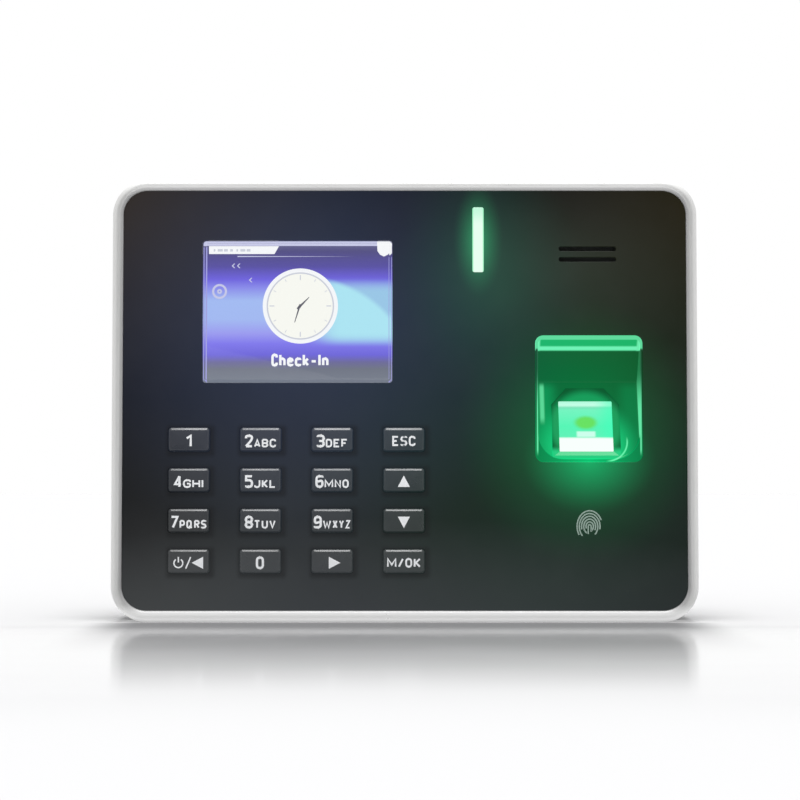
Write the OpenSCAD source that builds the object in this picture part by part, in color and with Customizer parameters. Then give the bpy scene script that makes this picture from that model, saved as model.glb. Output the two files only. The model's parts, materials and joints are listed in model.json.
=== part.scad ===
// Wall-mounted fingerprint terminal: a silver bezel round a black front panel with a colour
// screen, a 16-key pad, a status light, speaker slots and a sunken optical fingerprint sensor,
// closed at the back by a shell with a cable bay and a steel wall plate.
// +X is to the viewer's right, +Y goes into the wall and +Z is up. The front faces -Y.
// The origin is the centre of the footprint, on the surface that the terminal stands on.

/* [Case] */
// Overall width of the case
body_w = 180; // [178:1:186]
// Overall height of the case
body_h = 136; // [135:1:142]
// Overall depth, from the bezel's front to the back of the wall plate
body_d = 37; // [37:0.5:40]
// Corner radius of the case's outline
corner_r = 11; // [10.5:0.5:12]
// Wall thickness of the plastic shells
wall = 2.2; // [2:0.1:2.4]
// Depth of the bezel frame, front to back
bezel_depth = 12; // [11.5:0.1:12]
// Width of the bezel's band, seen from the front
bezel_band = 3.4; // [3:0.1:3.8]
// How far the bezel stands in front of the panel
bezel_proud = 1; // [0.8:0.1:1.2]
// Radius of the bezel's outer front edge
bezel_edge_r = 2; // [1.5:0.1:2.4]
// Radius of the shell's back edges
shell_edge_r = 4; // [3:0.5:4]

/* [Front panel] */
// Thickness of the front panel
panel_t = 2.2; // [2:0.1:2.2]
// Width of the screen opening
screen_w = 58.4; // [57.5:0.1:59]
// Height of the screen opening
screen_h = 43.9; // [43:0.1:44.5]
// Screen centre, across
screen_x = -33; // [-33.2:0.1:-31]
// Screen centre, up
screen_z = 95.2; // [94.8:0.1:96]
// Length of the status light
light_h = 20; // [16:0.5:20.5]
// Width of the status light
light_w = 3.4; // [3:0.1:3.8]
// Width of each speaker slot
slot_w = 17.8; // [14:0.1:20]
// Height of each speaker slot
slot_h = 1.6; // [1.2:0.1:1.8]

/* [Keypad] */
// Width of a key
key_w = 12.6; // [12:0.1:13]
// Height of a key
key_h = 7.2; // [6.8:0.1:7.4]
// Distance between key columns
key_pitch_x = 21.95; // [21.5:0.05:22.2]
// Distance between key rows
key_pitch_z = 12.4; // [12.2:0.1:12.6]
// How far a key stands in front of the panel
key_proud = 0.9; // [0.6:0.1:1]
// Travel of a key
key_travel = 1; // [0.6:0.1:1.2]

/* [Fingerprint sensor] */
// Width of the opening for the finger well
well_w = 33; // [32:0.1:34]
// Height of the opening for the finger well
well_h = 39; // [38:0.1:40]
// Greatest depth of the finger well behind the panel's face
well_depth = 8.9; // [8:0.1:9]
// Side of the square sensor glass
glass_side = 16.6; // [16:0.1:17]

/* [Wall plate] */
// Width of the wall plate
plate_w = 132; // [130:1:134]
// Height of the wall plate
plate_h = 110; // [108:1:110]
// Thickness of the wall plate's steel
plate_t = 1.5; // [1.2:0.1:1.5]
// Radius of the wall screw holes
wall_hole_r = 2.25; // [2:0.05:2.5]
// Distance between the wall screw holes, across
wall_hole_x = 110; // [108:1:110]
// Distance between the wall screw holes, up
wall_hole_z = 90; // [86:1:90]
// Distance between the slots for a switch box
box_slot_x = 60; // [60:0.1:60.3]

/* [Hidden] */
$fn = 48;

// Key nodes, row by row from the top and column by column from the left.
KEY_ROWS = [
    ["key_1", "key_2", "key_3", "key_esc"],
    ["key_4", "key_5", "key_6", "key_up"],
    ["key_7", "key_8", "key_9", "key_down"],
    ["key_power_left", "key_0", "key_right", "key_menu_ok"]
];

// Depth levels, front to back.
front_y = -body_d / 2;
face_y = front_y + bezel_proud;
panel_back_y = face_y + panel_t;
split_y = front_y + bezel_depth;
shell_front_y = split_y + 0.2;
back_y = body_d / 2;
shell_back_y = back_y - 0.2;
recess_y = back_y - plate_t - 0.4;
back_inner_y = recess_y - 2;
plate_front_y = back_y - plate_t;

// The panel and its seat in the bezel.
panel_gap = 0.1;
panel_inset = bezel_band + panel_gap;
ledge_w = 5.6;
ledge_t = 1.6;
ledge_v = bezel_proud + panel_t + 0.05;
slide_gap = 0.15;

// Keypad.
keypad_x = -33.2;
keypad_z = 37.2;
key_r = 0.9;
key_edge = 0.45;
key_flange = 0.9;
key_flange_t = 0.8;
key_back_y = panel_back_y + 0.05 + key_flange_t;
dome_h = 1.8;
sheet_t = 0.8;
rubber_y = key_back_y + dome_h;
keypad_board_y = rubber_y + sheet_t;
keypad_board_t = 1.2;
keypad_board_w = 83.2;
keypad_board_h = 51.5;
keypad_post_x = key_pitch_x;
keypad_post_z = key_pitch_z;
pilot_r = 1.05;
screw_r = 1;

// Screen stack.
lens_inset = 0.6;
screen_flange = 1.9;
lens_flange_t = 0.8;
gasket_y = panel_back_y + lens_flange_t;
cell_y = gasket_y + 0.8;
tray_y = cell_y + 1.7;
tray_t = 2.2;
cell_w = 69.2;
cell_h = 50;
tail_w = 20;
tail_socket_z = 74;

// Main board.
board_y = -6;
board_t = 1.6;
board_back_y = board_y + board_t;
board_x0 = -73;
board_x1 = 36;
board_z0 = 52.6;
board_z1 = 127;
board_posts = [[-70, 66.6], [-70, 123], [32, 66.6], [32, 123]];
post_r = 2.4;

// Status light and speaker.
light_x = 22.6;
light_z = 117.4;
speaker_x = 56.3;
speaker_z = 113;
slot_pitch = 3.3;
speaker_r = 14;

// Finger well. Its floor leans back by floor_tilt, deepest at the top.
well_x = 56.6;
well_z = 68.4;
well_rim = 0.8;
well_r = 2.4;
well_z0 = well_z - well_h / 2 + well_rim;
well_z1 = well_z + well_h / 2 - well_rim;
lip_drop = 3.8;
lip_depth = 3;
deep_y = face_y + well_depth;
deep_z = 73.8;
shallow_y = face_y + 0.6;
floor_tilt = atan((deep_y - shallow_y) / (deep_z - well_z0));
cup_back_y = deep_y + 1.2;
glass_x = 55.9;
glass_z = 59.9;
glass_y = shallow_y + (glass_z - well_z0) * tan(floor_tilt);
frame_side = 21;
frame_top = 12.5;
frame_corner = [4.6, 5.4];
frame_proud = 0.9;
module_x0 = 41.6;
module_x1 = 70.2;
module_z0 = 44;
module_z1 = 80;
module_back_y = 7.6;

// Cable bay in the back of the shell.
bay_x0 = -46;
bay_x1 = 34;
bay_z0 = 24;
bay_z1 = 50;
bay_floor_y = -5;
bay_wall = 1.8;
jack_z = bay_z1;

// Connectors: [centre x, width across, height off the board, depth up].
ethernet = [-30, 16, 13.5, 21];
power = [-8, 9, 11, 14];
terminal = [14, 16, 8, 10];
usb_z0 = 87.4;
usb_z1 = 100.6;
usb_x0 = -89;
usb_x1 = -73.5;
usb_h = 5.8;

// Reset button and tamper switch.
reset_x = 28;
reset_y = -1;
reset_r = 1.7;
reset_proud = 0.6;
reset_travel = 0.4;
reset_collar_z = bay_z1 + bay_wall + 0.1;
reset_collar_t = 0.9;
reset_switch_z = reset_collar_z + reset_collar_t + reset_travel + 0.1;
tamper_x = -62;
tamper_z = 60;
tamper_r = 1.5;
tamper_tip_r = 1;
tamper_travel = 0.8;
tamper_collar_y = 7.4;
tamper_collar_t = 1;
tamper_guide_y = tamper_collar_y + tamper_collar_t + 0.9;
tamper_switch_y = -1;
spring_turns = 5;
spring_steps = 14;
spring_r = 2.15;
spring_wire_r = 0.28;

// Wall plate and its fixings.
plate_z = 6 + plate_h / 2;
plate_r = 3;
window_gap = 4;
hook_x = 38;
hook_w = 8;
hook_z = 100;
hook_lip = 3;
flange_w = 18;
lock_y = 11;
head_pocket_r = 5.5;
box_slot_z = 68;
box_slot_w = 12;
box_slot_h = 4.6;
pocket_depth = 3;

// Case screws, at the centres of the outline's corners.
case_screw_x = body_w / 2 - corner_r;
case_screw_z = [corner_r, body_h - corner_r];
column_r = 4.4;
bore_r = 2.8;
seat_y = 0;

// Battery.
battery_x = 2;
battery_z = 103;
battery_w = 60;
battery_h = 36;
battery_t = 8;
battery_y = back_inner_y - 0.2 - battery_t;
strap_z = 113;
strap_reach = 37;

// Colours.
BLACK = "#1c1e22";
SILVER = "#cfd1d2";
CHARCOAL = "#2b2d30";
STEEL = "#b9bcbf";
BOARD = "#1f5a34";

// ---------------------------------------------------------------- helpers

// Extrudes a 2D shape drawn in X and Z from depth y0 back to y1.
module slab(y0, y1) translate([0, y1, 0]) rotate([90, 0, 0]) linear_extrude(y1 - y0) children();

// Extrudes a 2D shape drawn in Y and Z across from x0 to x1.
module across(x0, x1) translate([x0, 0, 0]) rotate([90, 0, 90]) linear_extrude(x1 - x0) children();

// A round rod along Y from depth y0 back to y1.
module rod(y0, y1, r, x, z) translate([x, y1, z]) rotate([90, 0, 0]) cylinder(h = y1 - y0, r = r);

// A box given by its lowest and highest corners.
module block(low, high) translate(low) cube(high - low);

// A rectangle with round corners, centred.
module rounded(w, h, r) {
    square([w - 2 * r, h], center = true);
    square([w, h - 2 * r], center = true);
    for (sx = [-1, 1], sz = [-1, 1])
        translate([sx * (w / 2 - r), sz * (h / 2 - r)]) circle(r);
}

// A rounded rectangle centred on a point of the front view.
module rounded_at(x, z, w, h, r) translate([x, z]) rounded(w, h, r);

// The case's outline, moved in by an inset.
module outline(inset)
    translate([0, body_h / 2]) rounded(body_w - 2 * inset, body_h - 2 * inset, corner_r - inset);

// Sweeps a profile round the case's outline. The profile's x is the distance in from the
// outline, and its y is the depth back from y0.
module rim(y0) translate([0, y0, body_h / 2]) rotate([-90, 0, 0])
    for (side = [0 : 3]) {
        upright = side % 2 == 0;
        run = (upright ? body_h : body_w) - 2 * corner_r;
        reach = (upright ? body_w : body_h) / 2;
        rotate(90 * side) {
            translate([reach, run / 2, 0]) rotate([90, 0, 0])
                linear_extrude(run) mirror([1, 0]) children();
            translate([reach - corner_r, run / 2, 0])
                rotate_extrude(angle = 90) translate([corner_r, 0]) mirror([1, 0]) children();
        }
    }

// What a round edge of radius r takes off the corner of a profile at the origin.
module edge_cut(r) difference() {
    translate([-1, -1]) square(r + 1);
    translate([r, r]) circle(r);
}

// A rounded plate whose front edges have a chamfer. It runs from z = 0 up to z = t.
module chamfered(w, h, r, t, edge) {
    linear_extrude(t - edge) rounded(w, h, r);
    translate([0, 0, t - edge]) {
        translate([0, h / 2 - r, 0]) rotate([90, 0, 0]) linear_extrude(h - 2 * r) taper(w, edge);
        rotate(90) translate([0, w / 2 - r, 0]) rotate([90, 0, 0])
            linear_extrude(w - 2 * r) taper(h, edge);
        for (sx = [-1, 1], sy = [-1, 1])
            translate([sx * (w / 2 - r), sy * (h / 2 - r), 0]) cylinder(h = edge, r1 = r, r2 = r - edge);
    }
}
module taper(w, edge) polygon([[-w / 2, 0], [w / 2, 0], [w / 2 - edge, edge], [edge - w / 2, edge]]);

// Stands a shape built on z = 0 on the front view, facing the viewer, with z = 0 at depth y.
module facing(x, y, z) translate([x, y, z]) rotate([90, 0, 0]) children();

// Puts a shape on the finger well's floor: its z is out of the floor and its y is up the floor.
module on_floor() translate([glass_x, glass_y, glass_z]) rotate([90 - floor_tilt, 0, 0]) children();

// Centre of a key of the pad.
function key_centre(col, row) =
    [keypad_x + (col - 1.5) * key_pitch_x, keypad_z - (row - 1.5) * key_pitch_z];

// Places its children at the centre of every key.
module at_keys() for (col = [0 : 3], row = [0 : 3]) translate(key_centre(col, row)) children();

// Corners of a rectangle about a centre.
function corners(x, z, w, h) = [for (sx = [-1, 1], sz = [-1, 1]) [x + sx * w / 2, z + sz * h / 2]];

// A tube along a list of points, with flat ends.
TUBE_SIDES = 8;
function unit(v) = v / norm(v);
function heading(p, i) = unit(p[min(i + 1, len(p) - 1)] - p[max(i - 1, 0)]);
function ring(p, i, r) =
    let (d = heading(p, i), a = unit(cross(d, [0, 0, 1])), b = cross(d, a))
    [for (k = [0 : TUBE_SIDES - 1])
        p[i] + r * (cos(360 * k / TUBE_SIDES) * a + sin(360 * k / TUBE_SIDES) * b)];
module tube(p, r) {
    n = TUBE_SIDES;
    last = (len(p) - 1) * n;
    sides = [for (i = [0 : len(p) - 2], k = [0 : n - 1])
        let (a = i * n + k, b = i * n + (k + 1) % n) each [[a, b, b + n], [a, b + n, a + n]]];
    polyhedron(
        points = [for (i = [0 : len(p) - 1]) each ring(p, i, r)],
        faces = concat(sides, [[for (k = [n - 1 : -1 : 0]) k]], [[for (k = [0 : n - 1]) last + k]])
    );
}

// A pan-head screw along Y: its head is behind depth y and its shank goes forward.
module screw(x, z, y, shank, r, head_r, head_t) difference() {
    union() {
        rod(y, y + head_t, head_r, x, z);
        rod(y - shank, y + 0.01, r, x, z);
    }
    for (turn = [0, 90])
        translate([x, y + head_t, z]) rotate([0, turn, 0])
            cube([head_r * 1.1, head_t, head_r * 0.28], center = true);
}

// ---------------------------------------------------------------- front

module front_panel() color(BLACK) {
    difference() {
        slab(face_y, panel_back_y) difference() {
            outline(panel_inset);
            rounded_at(screen_x, screen_z, screen_w, screen_h, 1);
            at_keys() rounded(key_w + 2 * slide_gap, key_h + 2 * slide_gap, key_r + slide_gap);
            rounded_at(light_x, light_z, light_w + 0.1, light_h + 0.1, 0.6);
            for (row = [-0.5, 0.5])
                rounded_at(speaker_x, speaker_z + row * slot_pitch, slot_w, slot_h, slot_h / 2 - 0.1);
            rounded_at(well_x, well_z, well_w, well_h, well_r + 0.1);
        }
    }
    for (p = concat(corners(keypad_x, keypad_z, 2 * keypad_post_x, 2 * keypad_post_z)))
        post(p, keypad_board_y, 2.4);
    for (p = board_posts) post(p, board_y, post_r);
    for (sx = [-1, 1], z = case_screw_z) post([sx * case_screw_x, z], shell_front_y - 0.1, 3.6);
}

// A screw post on the back of the panel, up to depth y1.
module post(p, y1, r) difference() {
    rod(panel_back_y, y1, r, p[0], p[1]);
    rod(panel_back_y + 0.4, y1 + 1, pilot_r + (r > 3 ? 0.3 : 0), p[0], p[1]);
}

module bezel_frame() color(SILVER) rim(front_y) bezel_profile();
module bezel_profile() difference() {
    union() {
        square([bezel_band, ledge_v + ledge_t]);
        translate([0, ledge_v]) square([ledge_w, ledge_t]);
        square([wall, bezel_depth]);
    }
    edge_cut(bezel_edge_r);
    polygon([[bezel_band - 0.9, -1], [bezel_band + 1, -1], [bezel_band + 1, 1.2], [bezel_band - 0.9, 0]]);
    polygon([[-1, bezel_depth - 0.4], [0, bezel_depth - 0.4], [0.4, bezel_depth], [0.4, bezel_depth + 1],
        [-1, bezel_depth + 1]]);
}

module screen_window() color("#9fb6c8", 0.4) {
    slab(face_y + lens_inset, panel_back_y + 0.01)
        rounded_at(screen_x, screen_z, screen_w - 0.3, screen_h - 0.3, 0.9);
    slab(panel_back_y, gasket_y)
        rounded_at(screen_x, screen_z, screen_w + 2 * screen_flange, screen_h + 2 * screen_flange, 1.5);
}

module status_light_pipe() color("#c8ffe0") {
    slab(face_y, board_y - 1.8) rounded_at(light_x, light_z, light_w, light_h, 0.55);
    slab(panel_back_y, panel_back_y + 1) rounded_at(light_x, light_z, light_w + 2.4, light_h + 2.4, 1);
}

module key_cap(col, row) color("#26292d") {
    c = key_centre(col, row);
    facing(c[0], panel_back_y + 0.1, c[1])
        chamfered(key_w, key_h, key_r, panel_t + key_proud + 0.1, key_edge);
    slab(panel_back_y + 0.05, key_back_y)
        rounded_at(c[0], c[1], key_w + 2 * key_flange, key_h + 2 * key_flange, 1.2);
}

// ---------------------------------------------------------------- fingerprint sensor

// Outline of the sensor's raised frame, arched at the top, grown by a margin.
module frame_outline(grow) {
    half = frame_side / 2 + grow;
    top = frame_top + grow;
    polygon([[-half, -half], [half, -half], [half, top - frame_corner[1]],
        [half - frame_corner[0], top], [frame_corner[0] - half, top], [-half, top - frame_corner[1]]]);
}

module sensor_cup() color("#0f3d24") difference() {
    union() {
        slab(face_y, panel_back_y + 0.01)
            rounded_at(well_x, well_z, well_w - 0.2, well_h - 0.2, well_r);
        slab(panel_back_y, cup_back_y) rounded_at(well_x, well_z, well_w + 4, well_h + 4, 2);
    }
    across(well_x - well_w / 2 + well_rim, well_x + well_w / 2 - well_rim)
        polygon([[face_y - 1, well_z1], [face_y, well_z1], [face_y + lip_depth, well_z1 - lip_drop],
            [deep_y, deep_z], [shallow_y, well_z0], [face_y - 1, well_z0]]);
    on_floor() translate([0, 0, -12]) linear_extrude(14) frame_outline(0.15);
}

module sensor_frame() color("#14171a") on_floor() difference() {
    translate([0, 0, -2]) linear_extrude(2 + frame_proud) frame_outline(0);
    translate([0, 0, -3]) linear_extrude(5) square(glass_side + 0.2, center = true);
}

module sensor_prism() color("#7dffc0") on_floor() {
    half = glass_side / 2;
    rotate([90, 0, 90]) translate([0, 0, -half]) linear_extrude(glass_side)
        polygon([[-half, 0.3], [half, 0.3], [half, -3], [-2, -8.6], [-half, -8.6]]);
}

// The optical module's housing, behind the cup, with a mouth for the prism.
module sensor_body() color("#1a1c1f") difference() {
    block([module_x0, cup_back_y, module_z0], [module_x1, module_back_y, module_z1]);
    block([module_x0 + 1.5, cup_back_y - 1, module_z0 + 1.5],
        [module_x1 - 1.5, module_back_y - 1.2, module_z1 - 1.5]);
    rod(module_back_y - 2, module_back_y + 1, 4.4, well_x, 62);
}

module sensor_light_board() color("#2f7d4a") {
    block([47, cup_back_y + 1.5, 46], [65, cup_back_y + 6.5, 47]);
    for (i = [0 : 3]) block([48.5 + 4.3 * i, cup_back_y + 2.8, 47], [50.6 + 4.3 * i, cup_back_y + 4.9, 48]);
}

module sensor_camera() color(BOARD) {
    block([module_x0 + 0.5, module_back_y, 47], [module_x1 - 0.5, module_back_y + 1.2, 78]);
    rod(module_back_y - 7, module_back_y, 4, well_x, 62);
}

// A ribbon cable from the camera's board to its socket on the main board.
module sensor_cable() color("#d8d8d0") translate([0, 0, 70.8]) linear_extrude(7)
    ribbon([[58, 8.95], [42, 8.95], [39.6, 8.3], [38.4, 6.4], [37.6, 3], [36, 0.3], [33.5, -0.2]], 0.3);

// A thin strip of even thickness along a line of points.
module ribbon(p, t) {
    function side(i) = let (d = heading(p, i)) [-d[1], d[0]] * t / 2;
    polygon(concat([for (i = [0 : len(p) - 1]) p[i] + side(i)],
        [for (i = [len(p) - 1 : -1 : 0]) p[i] - side(i)]));
}

// ---------------------------------------------------------------- speaker

// Turns a profile of radius and depth about the speaker's axis.
module speaker_turn(y0) translate([speaker_x, y0, speaker_z]) rotate([-90, 0, 0]) rotate_extrude() children();

module speaker_mesh() color("#101214") rod(panel_back_y, panel_back_y + 0.3, speaker_r - 1, speaker_x, speaker_z);

module speaker_frame() color("#3a3d40") speaker_turn(panel_back_y + 0.3)
    polygon([[11.8, 0], [speaker_r, 0], [speaker_r, 1.6], [9.5, 5], [9.5, 8.2], [0, 8.2], [0, 5.8],
        [8.3, 5.4], [11.8, 1.2]]);

module speaker_cone() color("#26282b") speaker_turn(panel_back_y + 0.3)
    polygon([[0, 2.2], [3.6, 3.4], [10.2, 0.6], [11.6, 0.3], [11.6, 0.8], [10.4, 1.1], [3.6, 3.9], [0, 2.7]]);

// ---------------------------------------------------------------- screen

module display_gasket() color("#15171a") slab(gasket_y, cell_y) difference() {
    rounded_at(screen_x, screen_z, screen_w + 2 * screen_flange, screen_h + 2 * screen_flange, 1.5);
    rounded_at(screen_x, screen_z, screen_w + 0.6, screen_h + 0.6, 1);
}

module display_glass() color("#5b63d8") slab(cell_y, tray_y)
    translate([screen_x, screen_z]) square([cell_w, cell_h], center = true);

module display_backlight() color("#dfe3e6") {
    slab(tray_y, tray_y + tray_t)
        rounded_at(screen_x, screen_z, cell_w + 1.4, cell_h + 1.4, 0.6);
    slab(cell_y + 0.2, tray_y + 0.01) difference() {
        rounded_at(screen_x, screen_z, cell_w + 1.4, cell_h + 1.4, 0.6);
        translate([screen_x, screen_z]) square([cell_w + 0.2, cell_h + 0.2], center = true);
    }
}

// The screen's flexible tail, folded back under the tray onto the main board.
module display_flex() color("#c98a2b") {
    tray_z0 = screen_z - cell_h / 2 - 0.7;
    fold_y0 = tray_y + 1;
    fold_y1 = board_y - 0.3;
    fold_r = (fold_y1 - fold_y0) / 2;
    bend_z = tray_z0 - 1;
    strip_t = 0.2;
    across(screen_x - tail_w / 2, screen_x + tail_w / 2) {
        translate([fold_y0, bend_z]) square([strip_t, tray_z0 - bend_z]);
        translate([fold_y1 - strip_t, bend_z]) square([strip_t, tail_socket_z - bend_z]);
        translate([fold_y0 + fold_r, bend_z]) difference() {
            circle(fold_r);
            circle(fold_r - strip_t);
            translate([-fold_r - 1, 0]) square([2 * fold_r + 2, fold_r + 1]);
        }
    }
}

// ---------------------------------------------------------------- keypad

module rubber_keypad() color("#d9dad6") difference() {
    union() {
        slab(rubber_y, keypad_board_y)
            rounded_at(keypad_x, keypad_z, keypad_board_w - 1, keypad_board_h - 1, 2);
        at_keys_3d() translate([0, rubber_y + 0.01, 0]) rotate([90, 0, 0])
            cylinder(h = dome_h + 0.01, r1 = 4, r2 = 2.6);
    }
    at_keys_3d() translate([0, keypad_board_y + 0.01, 0]) rotate([90, 0, 0]) cylinder(h = 1.4, r = 2.2);
    for (p = corners(keypad_x, keypad_z, 2 * keypad_post_x, 2 * keypad_post_z))
        rod(rubber_y - 1, keypad_board_y + 1, 3, p[0], p[1]);
}
module at_keys_3d() for (col = [0 : 3], row = [0 : 3]) {
    c = key_centre(col, row);
    translate([c[0], 0, c[1]]) children();
}

module keypad_board() color(BOARD) difference() {
    slab(keypad_board_y, keypad_board_y + keypad_board_t)
        rounded_at(keypad_x, keypad_z, keypad_board_w, keypad_board_h, 1.5);
    for (p = corners(keypad_x, keypad_z, 2 * keypad_post_x, 2 * keypad_post_z))
        rod(keypad_board_y - 1, keypad_board_y + 2, 1.3, p[0], p[1]);
}

module keypad_header() color("#222428")
    block([-10, keypad_board_y + keypad_board_t, 54.4], [6, board_y, 58.4]);

module keypad_screws() color(STEEL)
    for (p = corners(keypad_x, keypad_z, 2 * keypad_post_x, 2 * keypad_post_z))
        screw(p[0], p[1], keypad_board_y + keypad_board_t, 4, screw_r, 2, 1.3);

// ---------------------------------------------------------------- main board

module main_board() color(BOARD) difference() {
    slab(board_y, board_back_y) difference() {
        union() {
            translate([board_x0, board_z0]) square([board_x1 - board_x0, board_z1 - board_z0]);
            translate([board_x0 - 11, usb_z0 - 2]) square([12, usb_z1 - usb_z0 + 4]);
        }
        for (p = board_posts) translate(p) circle(1.3);
    }
}

// Chips and sockets, each [x, z, width, height, thickness off the board's back].
CHIPS = [
    [-48, 98, 17, 17, 1.3], [-27, 98, 11, 13, 1], [-27, 116, 12, 9, 1], [-50, 117, 7, 7, 2.6],
    [-10, 88, 18, 12, 1], [-4, 108, 6, 6, 2.8], [8, 100, 8, 5, 1.2], [22, 117, 6, 6, 2.8],
    [28, 89, 8, 6, 5], [31, 108, 6, 7, 4.5], [30.9, 74.7, 5, 8.6, 5]
];
module board_chips() color("#222428") {
    for (c = CHIPS)
        block([c[0] - c[2] / 2, board_back_y, c[1] - c[3] / 2],
            [c[0] + c[2] / 2, board_back_y + c[4], c[1] + c[3] / 2]);
    block([screen_x - tail_w / 2 - 1, board_y - 1.2, tail_socket_z],
        [screen_x + tail_w / 2 + 1, board_y, tail_socket_z + 4]);
}

module board_screws() color(STEEL) {
    for (p = board_posts) screw(p[0], p[1], board_back_y, 8.5, screw_r, 2.4, 1.6);
    for (sx = [-1, 1]) screw_forward(battery_x + sx * strap_reach, strap_z, 8.2, 5);
}
// A screw that goes back into the shell, with its head in front of depth y.
module screw_forward(x, z, y, shank) {
    rod(y - 1.4, y, 2, x, z);
    rod(y - 0.01, y + shank, screw_r, x, z);
}

module status_leds() color("#f4f4e8") for (i = [-1 : 1])
    block([light_x - 1.2, board_y - 1.5, light_z + 6.4 * i - 1.6], [light_x + 1.2, board_y, light_z + 6.4 * i + 1.6]);

// ---------------------------------------------------------------- connectors

// The box of a connector on the board's back whose mouth is the bay's ceiling.
module jack_box(c, z1) block([c[0] - c[1] / 2, board_back_y, jack_z], [c[0] + c[1] / 2, board_back_y + c[2], z1]);

module ethernet_jack() color(STEEL) {
    y0 = board_back_y;
    difference() {
        jack_box(ethernet, jack_z + ethernet[3]);
        block([ethernet[0] - 5.9, y0 + 2.2, jack_z - 1], [ethernet[0] + 5.9, y0 + 9.2, jack_z + 15]);
        block([ethernet[0] - 3, y0 + 9, jack_z - 1], [ethernet[0] + 3, y0 + 11.6, jack_z + 15]);
    }
    for (i = [0 : 7])
        block([ethernet[0] - 3.75 + 1.02 * i, y0 + 2.1, jack_z + 2], [ethernet[0] - 3.4 + 1.02 * i, y0 + 2.7, jack_z + 15.1]);
}

module power_jack() color("#1b1c1e") {
    y = board_back_y + 5.8;
    difference() {
        jack_box(power, jack_z + power[3]);
        translate([power[0], y, jack_z - 1]) cylinder(h = 10.5, r = 3.2);
    }
    translate([power[0], y, jack_z + 0.8]) cylinder(h = 9, r = 1);
}

module terminal_block() color("#2f8f4e") {
    y0 = board_back_y;
    difference() {
        jack_box(terminal, jack_z + terminal[3]);
        block([terminal[0] - 7.2, y0 + 1, jack_z - 1], [terminal[0] + 7.2, y0 + 7, jack_z + 8]);
    }
    for (i = [-1.5 : 1.5])
        block([terminal[0] + 3.5 * i - 0.4, y0 + 3.2, jack_z + 0.6], [terminal[0] + 3.5 * i + 0.4, y0 + 4, jack_z + 8.01]);
}

module usb_port() color(STEEL) {
    y0 = board_back_y;
    difference() {
        block([usb_x0, y0, usb_z0], [usb_x1, y0 + usb_h, usb_z1]);
        block([usb_x0 - 1, y0 + 0.4, usb_z0 + 0.4], [usb_x1 - 2, y0 + usb_h - 0.4, usb_z1 - 0.4]);
    }
    block([usb_x0 + 1, y0 + 0.9, usb_z0 + 1.1], [usb_x1 - 1.99, y0 + 2.7, usb_z1 - 1.1]);
}

module reset_switch() color("#c9cccf")
    block([reset_x - 3, board_back_y, reset_switch_z], [reset_x + 3, board_back_y + 6, reset_switch_z + 3.5]);

// The button's collar sits behind the bay's ceiling and keeps it in.
module reset_button() color("#e8e8e8") translate([reset_x, reset_y, 0]) {
    translate([0, 0, jack_z - reset_proud])
        cylinder(h = reset_collar_z - jack_z + reset_proud + 0.01, r = reset_r);
    translate([0, 0, reset_collar_z]) cylinder(h = reset_collar_t, r = 2.7);
}

// The switch has a blind hole that the tip of the tamper pin slides in.
module tamper_switch() color("#2a2c30") difference() {
    block([tamper_x - 3.1, board_back_y, tamper_z - 3.1], [tamper_x + 3.1, tamper_switch_y, tamper_z + 3.1]);
    rod(board_back_y + 0.4, tamper_switch_y + 1, tamper_tip_r + 0.1, tamper_x, tamper_z);
}

// The tamper pin rests on the wall plate. Its spring pushes on the collar, which meets the
// shell's guide once the plate is off.
module tamper_plunger() color("#e6e2d6") {
    rod(tamper_switch_y - 1.6, 0.01, tamper_tip_r, tamper_x, tamper_z);
    rod(0, plate_front_y - 0.05, tamper_r, tamper_x, tamper_z);
    rod(tamper_collar_y, tamper_collar_y + tamper_collar_t, 2.6, tamper_x, tamper_z);
}

// A coil spring round the pin, from the switch to the collar.
module tamper_spring() color(STEEL) {
    y0 = tamper_switch_y + spring_wire_r + 0.02;
    y1 = tamper_collar_y - spring_wire_r - 0.02;
    last = spring_turns * spring_steps;
    tube([for (i = [0 : last])
        [tamper_x + spring_r * cos(360 * i / spring_steps), y0 + (y1 - y0) * i / last,
            tamper_z + spring_r * sin(360 * i / spring_steps)]], spring_wire_r);
}

module buzzer() color("#17181a") difference() {
    rod(board_back_y, board_back_y + 8.5, 6, 14, 76);
    rod(board_back_y + 7.5, board_back_y + 9, 1.2, 14, 76);
}

module coin_cell_holder() color("#1d1f22") difference() {
    rod(board_back_y, board_back_y + 3.2, 8, -56, 76);
    rod(board_back_y + 0.8, board_back_y + 4, 6.4, -56, 76);
}
module coin_cell() color("#c6c8ca") rod(board_back_y + 0.8, board_back_y + 2.8, 6.25, -56, 76);

// ---------------------------------------------------------------- power and leads

module backup_battery() color("#3f6fb0")
    facing(battery_x, battery_y + battery_t, battery_z) chamfered(battery_w, battery_h, 3, battery_t, 1.2);

// A strap across the front of the battery, with a foot on each side.
module battery_bracket() color("#303236") {
    half = battery_w / 2 + 0.4;
    y0 = battery_y - 1.2;
    foot_y = 9.2;
    difference() {
        union() {
            block([battery_x - half - 1.2, y0, strap_z - 4], [battery_x + half + 1.2, y0 + 1, strap_z + 4]);
            for (s = [-1, 1]) {
                x = battery_x + s * (half + 0.6);
                block([x - 0.6, y0, strap_z - 4], [x + 0.6, foot_y, strap_z + 4]);
                block([min(x, x + s * 9.5), foot_y - 1, strap_z - 4], [max(x, x + s * 9.5), foot_y, strap_z + 4]);
            }
        }
        for (s = [-1, 1]) rod(foot_y - 3, foot_y + 2, 1.3, battery_x + s * strap_reach, strap_z);
    }
}

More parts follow.
